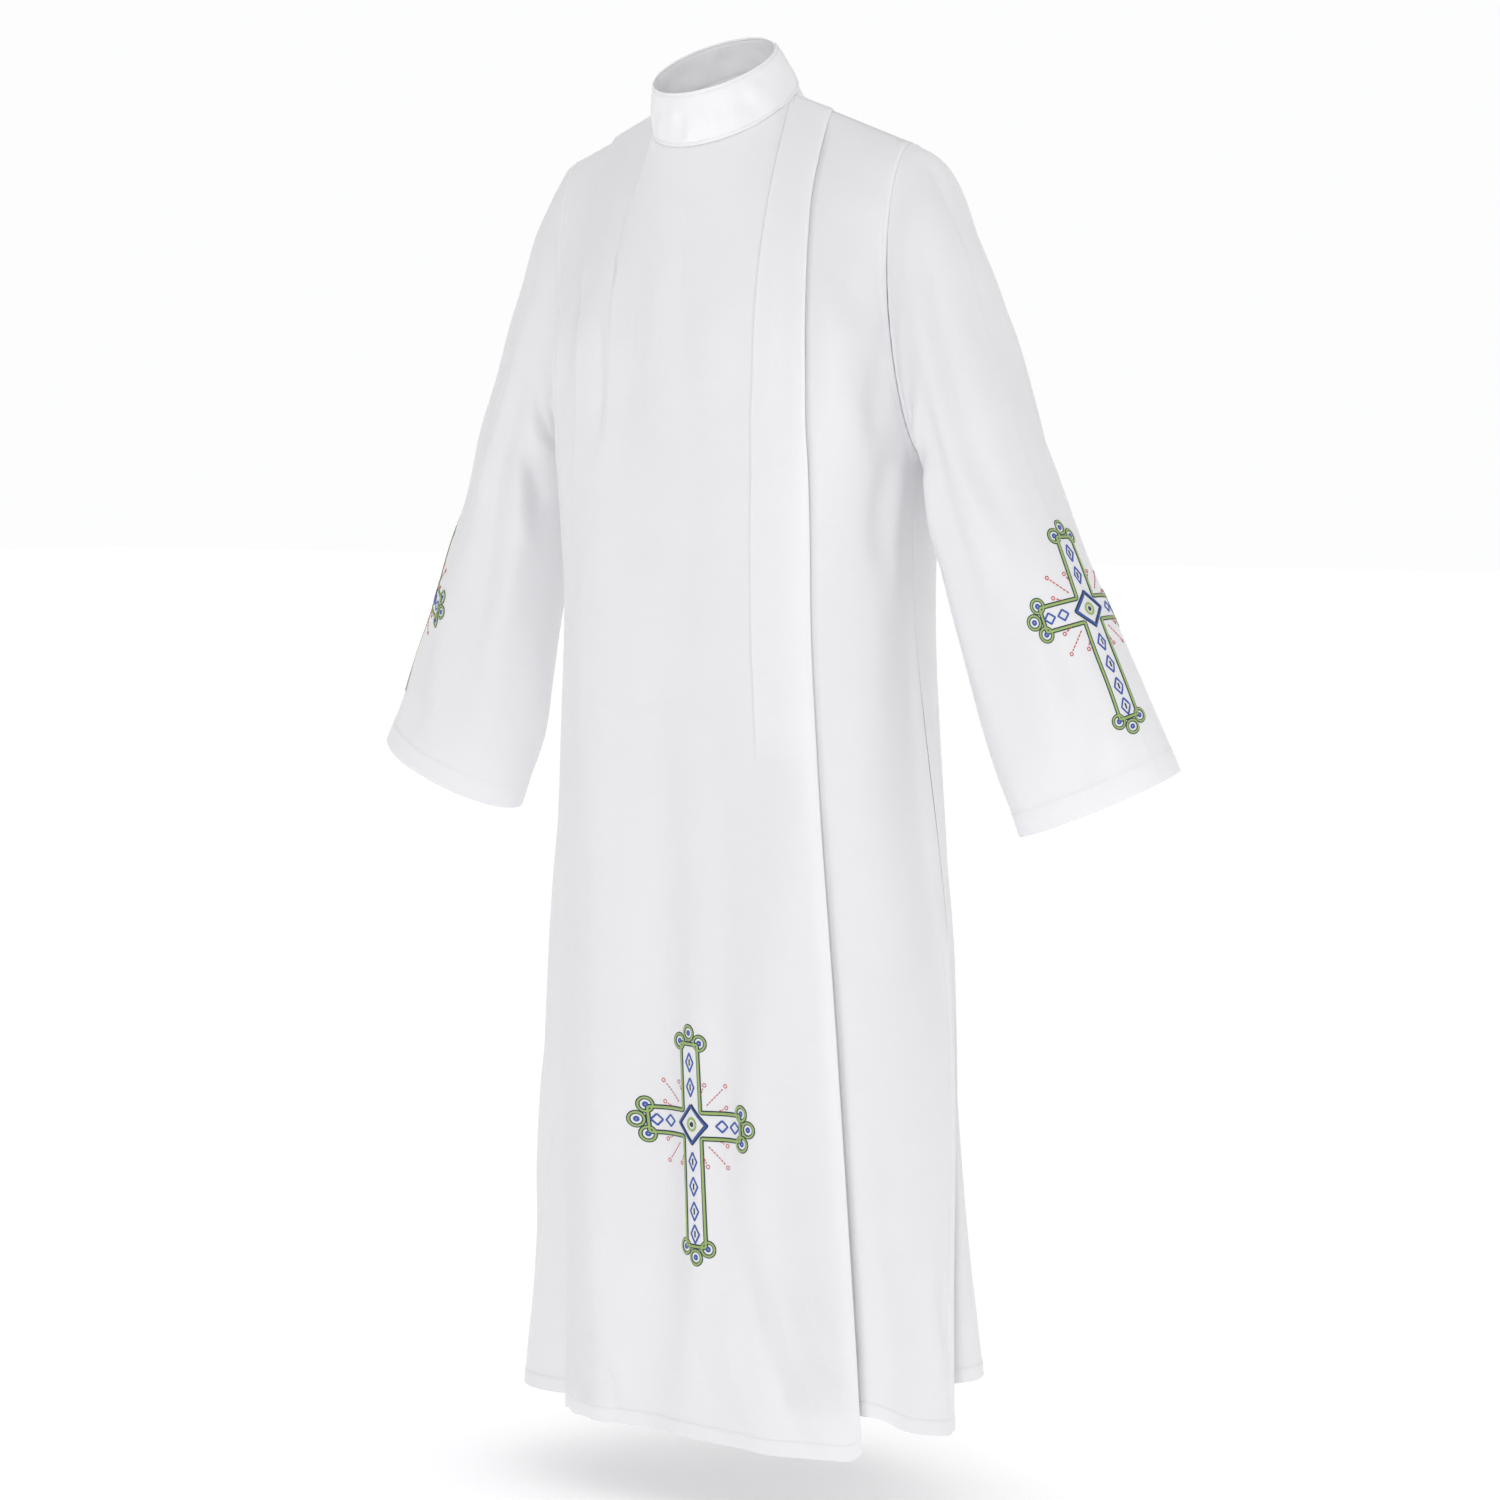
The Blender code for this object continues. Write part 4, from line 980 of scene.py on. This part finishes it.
def on_cloth(chart, x, y, lift):
    shape = x.shape
    x, y, lift = x.ravel(), y.ravel(), lift.ravel()
    row = np.clip(np.searchsorted(chart.y, y) - 1, 0, len(chart.y) - 2)
    share = (y - chart.y[row]) / (chart.y[row + 1] - chart.y[row])
    point = np.zeros((len(x), 3))
    normal = np.zeros((len(x), 3))
    for r in np.unique(row):
        some = row == r
        for at, weight in ((r, 1.0 - share[some]), (r + 1, share[some])):
            places = chart.x[at]
            c = np.clip(np.searchsorted(places, x[some]) - 1, 0, len(places) - 2)
            t = ((x[some] - places[c]) / np.maximum(places[c + 1] - places[c], 1e-9))[:, None]
            here = chart.points[at][c] * (1.0 - t) + chart.points[at][c + 1] * t
            facing = chart.normals[at][c] * (1.0 - t) + chart.normals[at][c + 1] * t
            point[some] += here * weight[:, None]
            normal[some] += facing * weight[:, None]
    return (point + unit(normal) * lift[:, None]).reshape(*shape, 3)


def resampled(path, step):
    path = np.asarray(path, float)
    steps = np.linalg.norm(np.diff(path, axis=0), axis=1)
    sums = np.concatenate([[0.0], np.cumsum(steps)])
    count = max(3, int(round(sums[-1] / step)) + 1)
    at = np.linspace(0.0, sums[-1], count)
    return np.stack([np.interp(at, sums, path[:, 0]), np.interp(at, sums, path[:, 1])], axis=1), at


class ThreadWork:
    """Collects ribbons of thread on one piece of cloth."""

    def __init__(self, chart):
        self.chart = chart
        self.points = []
        self.faces = []
        self.uv = []
        self.slots = []
        self.count = 0

    def ribbon(self, path, width, height, slot, step=0.0004, ridge=0.22, base=0.0):
        path, at = resampled(path, step)
        tangent = np.gradient(path, axis=0)
        tangent = tangent / np.maximum(np.linalg.norm(tangent, axis=1, keepdims=True), 1e-12)
        side = np.stack([-tangent[:, 1], tangent[:, 0]], axis=1)
        across = np.array([-0.5, -0.33, 0.0, 0.33, 0.5])
        domed = np.array([-0.25, 0.72, 1.0, 0.72, -0.25])
        ripple = 1.0 - ridge * (np.arange(len(path)) % 2)
        spot = path[:, None, :] + side[:, None, :] * (across * width)[None, :, None]
        lift = base + height * domed[None, :] * np.where(domed > 0.0, ripple[:, None], 1.0)
        laid = on_cloth(self.chart, spot[..., 0], spot[..., 1], lift)
        index = self.count + np.arange(laid.shape[0] * 5).reshape(-1, 5)
        quads = np.stack([index[:-1, 1:], index[:-1, :-1], index[1:, :-1], index[1:, 1:]], axis=-1)
        quads = quads.reshape(-1, 4)
        self.points.append(laid.reshape(-1, 3))
        self.faces.append(quads)
        uv = np.stack([at[:, None] + 0.0 * lift, across * width + 0.0 * lift], axis=-1)
        self.uv.append(uv.reshape(-1, 2))
        self.slots.append(np.full(len(quads), slot))
        self.count += laid.shape[0] * 5

    def running(self, path, length, gap, width, height, slot):
        path, at = resampled(path, 0.0006)
        for start in np.arange(gap, at[-1] - length * 0.6, length + gap):
            ends = np.linspace(start, min(start + length, at[-1]), 4)
            dash = np.stack([np.interp(ends, at, path[:, 0]), np.interp(ends, at, path[:, 1])], axis=1)
            self.ribbon(dash, width, height, slot, step=length / 3.0, ridge=0.0)

    def made(self, name, materials):
        piece = mesh_object(
            name, np.concatenate(self.points), np.concatenate(self.faces).tolist(), materials[0],
            np.concatenate(self.uv))
        for other in materials[1:]:
            piece.data.materials.append(other)
        piece.data.polygons.foreach_set("material_index", np.concatenate(self.slots).astype(np.int32))
        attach(piece, "root")
        return piece


def thread_material(name, colour):
    """Lustrous thread whose strands lie across the stroke."""
    material, nodes, links, shader = tree_of(name, colour, 0.40, 0.25)
    strands = noise(nodes, links, cloth_place(nodes), (2600.0, 90.0, 1.0), 1.0, 2.0)
    tint = ramp(nodes, links, strands,
                [[0.72 * c for c in colour], [min(1.0, 1.22 * c) for c in colour]], (0.3, 0.7))
    links.new(tint.outputs["Color"], shader.inputs["Base Color"])
    raised = bump(nodes, links, strands, 0.6, 0.0003)
    links.new(raised.outputs["Normal"], shader.inputs["Normal"])
    return material


DARK, GREEN, BLUE, RED = 0, 1, 2, 3
THREADS = [
    thread_material("dark_thread", (0.012, 0.035, 0.045)),
    thread_material("green_thread", (0.33, 0.46, 0.15)),
    thread_material("blue_thread", (0.045, 0.10, 0.39)),
    thread_material("red_thread", (0.55, 0.045, 0.045)),
]
WHITE_THREAD = thread_material("white_thread", (0.80, 0.80, 0.815))
STITCH_WIDTH = 2.0 * THREAD
STITCH_HEIGHT = 0.8 * THREAD


def ring_path(u, v, radius):
    turn = np.radians(np.linspace(0.0, 360.0, 40))
    return np.stack([u + radius * np.cos(turn), v + radius * np.sin(turn)], axis=1)


def lozenge_path(u, v, half_wide, half_tall):
    corners = np.array([[0, 1], [1, 0], [0, -1], [-1, 0], [0, 1]])
    return corners * [half_wide, half_tall] + [u, v]


def rounded_path(corners, radius):
    """Closed outline with its corners cut round."""
    corners = np.asarray(corners, float)
    path = []
    for before, at, after in zip(np.roll(corners, 1, axis=0), corners, np.roll(corners, -1, axis=0)):
        to_before = (before - at) / np.linalg.norm(before - at)
        to_after = (after - at) / np.linalg.norm(after - at)
        for t in np.linspace(0.0, 1.0, 5):
            path.append(at + to_before * radius * (1.0 - t) ** 2 + to_after * radius * t ** 2)
    path.append(path[0])
    return np.array(path)


def cross_work(chart, centre, tilt, size):
    """Plain straight cross with a bud of three rings on each arm and short rays between the arms."""
    work = ThreadWork(chart)
    lean = np.radians(tilt)
    turned_by = np.array([[np.cos(lean), np.sin(lean)], [-np.sin(lean), np.cos(lean)]])

    def placed(path):
        return np.asarray(path, float) * size @ turned_by + centre

    def lay(path, *strands):
        for width, height, thread in strands:
            work.ribbon(placed(path), width * size, height, thread)

    arm, up, down, sideways = 0.0125, 0.078, 0.118, 0.058
    outline = rounded_path([
        (arm, arm), (sideways, arm), (sideways, -arm), (arm, -arm), (arm, -down), (-arm, -down),
        (-arm, -arm), (-sideways, -arm), (-sideways, arm), (-arm, arm), (-arm, up), (arm, up)], 0.0022)
    buds = []
    for end, way in ((up, (0, 1)), (down, (0, -1)), (sideways, (1, 0)), (sideways, (-1, 0))):
        way = np.array(way, float)
        beside = np.array([way[1], way[0]])
        buds.append(way * (end + 0.0105))
        buds.append(way * (end + 0.0015) + beside * 0.0145)
        buds.append(way * (end + 0.0015) - beside * 0.0145)
    for u, v in buds:
        lay(ring_path(u, v, 0.0068), (0.0044, 0.0006, DARK), (0.0026, 0.0010, GREEN))
        lay(ring_path(u, v, 0.0017), (0.0026, 0.0008, BLUE))
    lay(outline, (0.0054, 0.0007, DARK), (0.0032, 0.0012, GREEN))
    lay(lozenge_path(0.0, 0.0, 0.0185, 0.0185), (0.0046, 0.0013, DARK), (0.0028, 0.0017, BLUE))
    lay(ring_path(0.0, 0.0, 0.0058), (0.0028, 0.0010, GREEN))
    lay(ring_path(0.0, 0.0, 0.0015), (0.0026, 0.0010, DARK))
    for v in (0.036, 0.060, -0.036, -0.060, -0.084, -0.106):
        lay(lozenge_path(0.0, v, 0.0056, 0.0090), (0.0022, 0.0009, BLUE))
        lay([(0.0, v + 0.003), (0.0, v - 0.003)], (0.0020, 0.0008, DARK))
    for u in (0.034, 0.050, -0.034, -0.050):
        lay(lozenge_path(u, 0.0, 0.0062, 0.0056), (0.0022, 0.0009, BLUE))
    for quarter in (45.0, 135.0, 225.0, 315.0):
        for aside_by, reach in ((-20.0, 0.040), (0.0, 0.052), (20.0, 0.040)):
            heading = np.radians(quarter + aside_by)
            way = np.array([np.cos(heading), np.sin(heading)])
            ray = [way * 0.0270, way * reach]
            work.running(placed(ray), 0.0026, 0.0010, 0.0011, 0.00055, RED)
            tip = way * (reach + 0.0035)
            work.ribbon(placed(ring_path(*tip, 0.0018)), 0.0009, 0.0005, RED, step=0.0009, ridge=0.0)
    return work


# Floor, light and camera


def plane(name, size, centre, material):
    corners = np.array([[-1.0, -1.0, 0.0], [1.0, -1.0, 0.0], [1.0, 1.0, 0.0], [-1.0, 1.0, 0.0]])
    points = corners * size / 2.0 + np.array(centre)
    return mesh_object(name, points, [[0, 1, 2, 3]], material)


def area_light(name, place, target, size, power):
    data = bpy.data.lights.new(name, "AREA")
    data.shape = "RECTANGLE"
    data.size, data.size_y = size
    data.energy = power
    light = link(bpy.data.objects.new(name, data))
    light.location = place
    aim = Vector(target) - Vector(place)
    light.rotation_euler = aim.to_track_quat("-Z", "Y").to_euler()


KEY_PLACE = (1.75, -3.68, -0.20)
KEY_POWER = 51.5
GLOW_PLACE = (0.012, -0.040, 0.005)
GLOW_POWER = 0.045
FLOOR_WIDTH = 60.0
FLOOR_HEIGHT = -1.40
AZIMUTH = math.radians(35.0)
TILT = math.radians(4.25)
DISTANCE = 4.12
CAMERA_HEIGHT = 0.9945 - SHOULDER_HEIGHT
SIDE_STEP = 0.01236

toward = Vector((-math.sin(AZIMUTH), math.cos(AZIMUTH), 0.0))
up = Vector((0.0, 0.0, 1.0))
ahead = toward * math.cos(TILT) - up * math.sin(TILT)
upward = toward * math.sin(TILT) + up * math.cos(TILT)
rightward = Vector((math.cos(AZIMUTH), math.sin(AZIMUTH), 0.0))
place = rightward * SIDE_STEP - toward * DISTANCE + up * CAMERA_HEIGHT
camera_data = bpy.data.cameras.new("camera")
camera_data.sensor_width = 36.0
camera_data.lens = 96.0
camera = link(bpy.data.objects.new("camera", camera_data))
turned = Matrix((rightward, upward, -ahead)).transposed().to_4x4()
camera.matrix_world = Matrix.Translation(place) @ turned
bpy.context.scene.camera = camera

world = bpy.data.worlds.new("studio")
world.use_nodes = True
sky, sky_links = world.node_tree.nodes, world.node_tree.links
turned_sky = sky.new("ShaderNodeMapping")
turned_sky.inputs["Rotation"].default_value = (0.0, 0.0, math.radians(-10.0))
sky_links.new(sky.new("ShaderNodeTexCoord").outputs["Generated"], turned_sky.inputs["Vector"])
heading = sky.new("ShaderNodeSeparateXYZ")
sky_links.new(turned_sky.outputs["Vector"], heading.inputs[0])
to_back = joined(sky, sky_links, "MULTIPLY", heading.outputs["Y"], 0.5)
above = joined(sky, sky_links, "MAXIMUM", heading.outputs["Z"], 0.0)
upper = joined(sky, sky_links, "MULTIPLY", above, 0.2)
around_robe = joined(sky, sky_links, "ADD", to_back, 0.5)
studio = ramp(sky, sky_links, joined(sky, sky_links, "ADD", around_robe, upper),
              [(0.47, 0.47, 0.48), (0.98, 0.982, 0.985)], (0.30, 0.62))
studio.color_ramp.interpolation = "EASE"
sky_links.new(studio.outputs["Color"], sky["Background"].inputs["Color"])
sky["Background"].inputs["Strength"].default_value = 1.0
bpy.context.scene.world = world
bpy.context.scene.view_settings.view_transform = "Standard"

middle_of_robe = (0.0, 0.0, -0.62)
area_light("key", KEY_PLACE, middle_of_robe, (1.0, 1.0), KEY_POWER)
glow = bpy.data.lights.new("through_the_cloth", "POINT")
glow.energy = GLOW_POWER
glow.shadow_soft_size = 0.02
inside_light = link(bpy.data.objects.new("through_the_cloth", glow))
inside_light.location = GLOW_PLACE
inside_light.visible_camera = False

floor_material, floor_nodes, floor_links, floor_shader = tree_of("pale_floor", (0.86, 0.86, 0.87), 0.8)
floor_place = floor_nodes.new("ShaderNodeTexCoord").outputs["Object"]
floor_grain = noise(floor_nodes, floor_links, floor_place, (1.0, 1.0, 1.0), 3.0)
floor_tint = ramp(floor_nodes, floor_links, floor_grain, [(0.85, 0.85, 0.86), (0.87, 0.87, 0.875)])
floor_links.new(floor_tint.outputs["Color"], floor_shader.inputs["Base Color"])
floor_shader.inputs["Emission Color"].default_value = (1.0, 1.0, 1.0, 1.0)
floor_shader.inputs["Emission Strength"].default_value = 0.27
floor = plane("floor", FLOOR_WIDTH, (0.0, 0.0, FLOOR_HEIGHT), floor_material)

(front, front_middle, front_across, front_thick), front_facts = front_panel()
(left, left_middle, left_across, left_thick), left_facts = front_left_panel()
(back, back_middle, back_across, back_thick), back_facts = back_panel()
sleeve_left, sleeve_left_chart = sleeve("sleeve_left", 1, 41)
sleeve_right, sleeve_right_chart = sleeve("sleeve_right", -1, 42)
band_collar, collar_chart = collar()

shells = {
    "front": front, "front_left": left, "back": back,
    "sleeve_left": sleeve_left, "sleeve_right": sleeve_right, "collar": band_collar,
}
for node, piece in shells.items():
    piece.name = node + "_cloth"
    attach(piece, "root")
    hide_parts(node)


drawn = slice(front_facts["main"], None)
front_chart = chart_of(
    front_facts["x"][:, drawn], front_facts["y"][:, 0], front_middle[:, drawn], front_across[:, drawn],
    front_thick[:, drawn])
front_cross = cross_work(front_chart, (-0.012, 0.319), 2.0, 1.04).made("front_cross", THREADS)
sleeve_crosses = []
for name, chart in (("left", sleeve_left_chart), ("right", sleeve_right_chart)):
    work = cross_work(chart, (0.0, SLEEVE_CROSS_SHARE * SLEEVE_LENGTH), -4.0, 0.84)
    sleeve_crosses.append(work.made("sleeve_cross_" + name, THREADS))


def seam_path(facts, from_edge, away, rows, columns=slice(None)):
    """Flat places at a set distance from an edge, row by row."""
    x = []
    for row in rows:
        order = np.argsort(from_edge[row])
        x.append(np.interp(away, from_edge[row][order], facts["x"][row, columns][order]))
    return np.stack([x, facts["y"][rows, 0]], axis=1)


def side_seams(facts, edges, columns=slice(None)):
    """Stitches beside a vent's edge and an armhole, for each edge named."""
    return [seam_path(facts, facts[edge][:, columns], away, rows, columns)
            for away, rows in ((VENT_STITCH, below_vent), (ARMHOLE_STITCH, above_underarm))
            for edge in edges]


def level_path(chart, y):
    row = int(np.argmin(np.abs(chart.y - y)))
    return np.array([(chart.x[row][0] + 0.002, y), (chart.x[row][-1] - 0.002, y)])


def stitched(name, chart, paths):
    work = ThreadWork(chart)
    for path in paths:
        work.running(path, STITCH_LENGTH, STITCH_GAP, STITCH_WIDTH, STITCH_HEIGHT, 0)
    piece = work.made(name + "_stitches", [WHITE_THREAD])
    return piece


heights = front_facts["y"][:, 0]
below_vent = np.flatnonzero((heights > 0.018) & (heights < VENT_HEIGHT))
above_underarm = np.flatnonzero(
    (heights > UNDERARM_HEIGHT + 0.005) & (heights < UNDERARM_HEIGHT + 0.365))
beside_placket = np.flatnonzero(
    (heights > PLACKET_END + 0.03) & (heights < UNDERARM_HEIGHT + 0.362))
HEM_STITCH = HEM_DEPTH - STITCH_IN
VENT_STITCH = VENT_HEM_DEPTH - STITCH_IN
ARMHOLE_STITCH = 0.0046
side = slice(0, front_facts["side"])
side_chart = chart_of(
    front_facts["x"][:, side], heights, front_middle[:, side], front_across[:, side], front_thick[:, side])
left_chart = chart_of(left_facts["x"], heights, left_middle, left_across, left_thick)
back_chart = chart_of(back_facts["x"], heights, back_middle, back_across, back_thick)
on_sheet = {
    "front": [
        front_cross,
        stitched("front", front_chart, [
            level_path(front_chart, HEM_STITCH),
            seam_path(front_facts, front_facts["to_edge"], PLACKET_WIDTH, beside_placket, drawn)]),
        stitched("front_side", side_chart, [
            level_path(side_chart, HEM_STITCH), *side_seams(front_facts, ["from_seam"], side)]),
    ],
    "front_left": [stitched("front_left", left_chart, [
        level_path(left_chart, HEM_STITCH), *side_seams(left_facts, ["to_seam"])])],
    "back": [stitched("back", back_chart, [
        level_path(back_chart, HEM_STITCH), *side_seams(back_facts, ["from_left", "to_right"])])],
    "collar": [stitched("collar", collar_chart, [
        level_path(collar_chart, 0.0030), level_path(collar_chart, 0.0486)])],
}
CUFF_STITCH = (CUFF_HEM_DEPTH - STITCH_IN) * SLEEVE_LENGTH / SLEEVE_OUTER_LENGTH
for name, chart, cross in (("sleeve_left", sleeve_left_chart, sleeve_crosses[0]),
                           ("sleeve_right", sleeve_right_chart, sleeve_crosses[1])):
    on_sheet[name] = [cross, stitched(name, chart, [level_path(chart, CUFF_STITCH)])]


# Flat size of the cut, width by length, and its area
Sheet = namedtuple("Sheet", "node width length area")
SHEETS = table(Sheet, [
    ("front", 0.684, 1.394, 0.728), ("front_left", 0.233, 1.347, 0.26), ("back", 0.705, 1.356, 0.744),
    ("sleeve_left", 0.51, 0.689, 0.2458), ("sleeve_right", 0.51, 0.689, 0.245),
    ("collar", 0.525, 0.055, 0.0247),
])
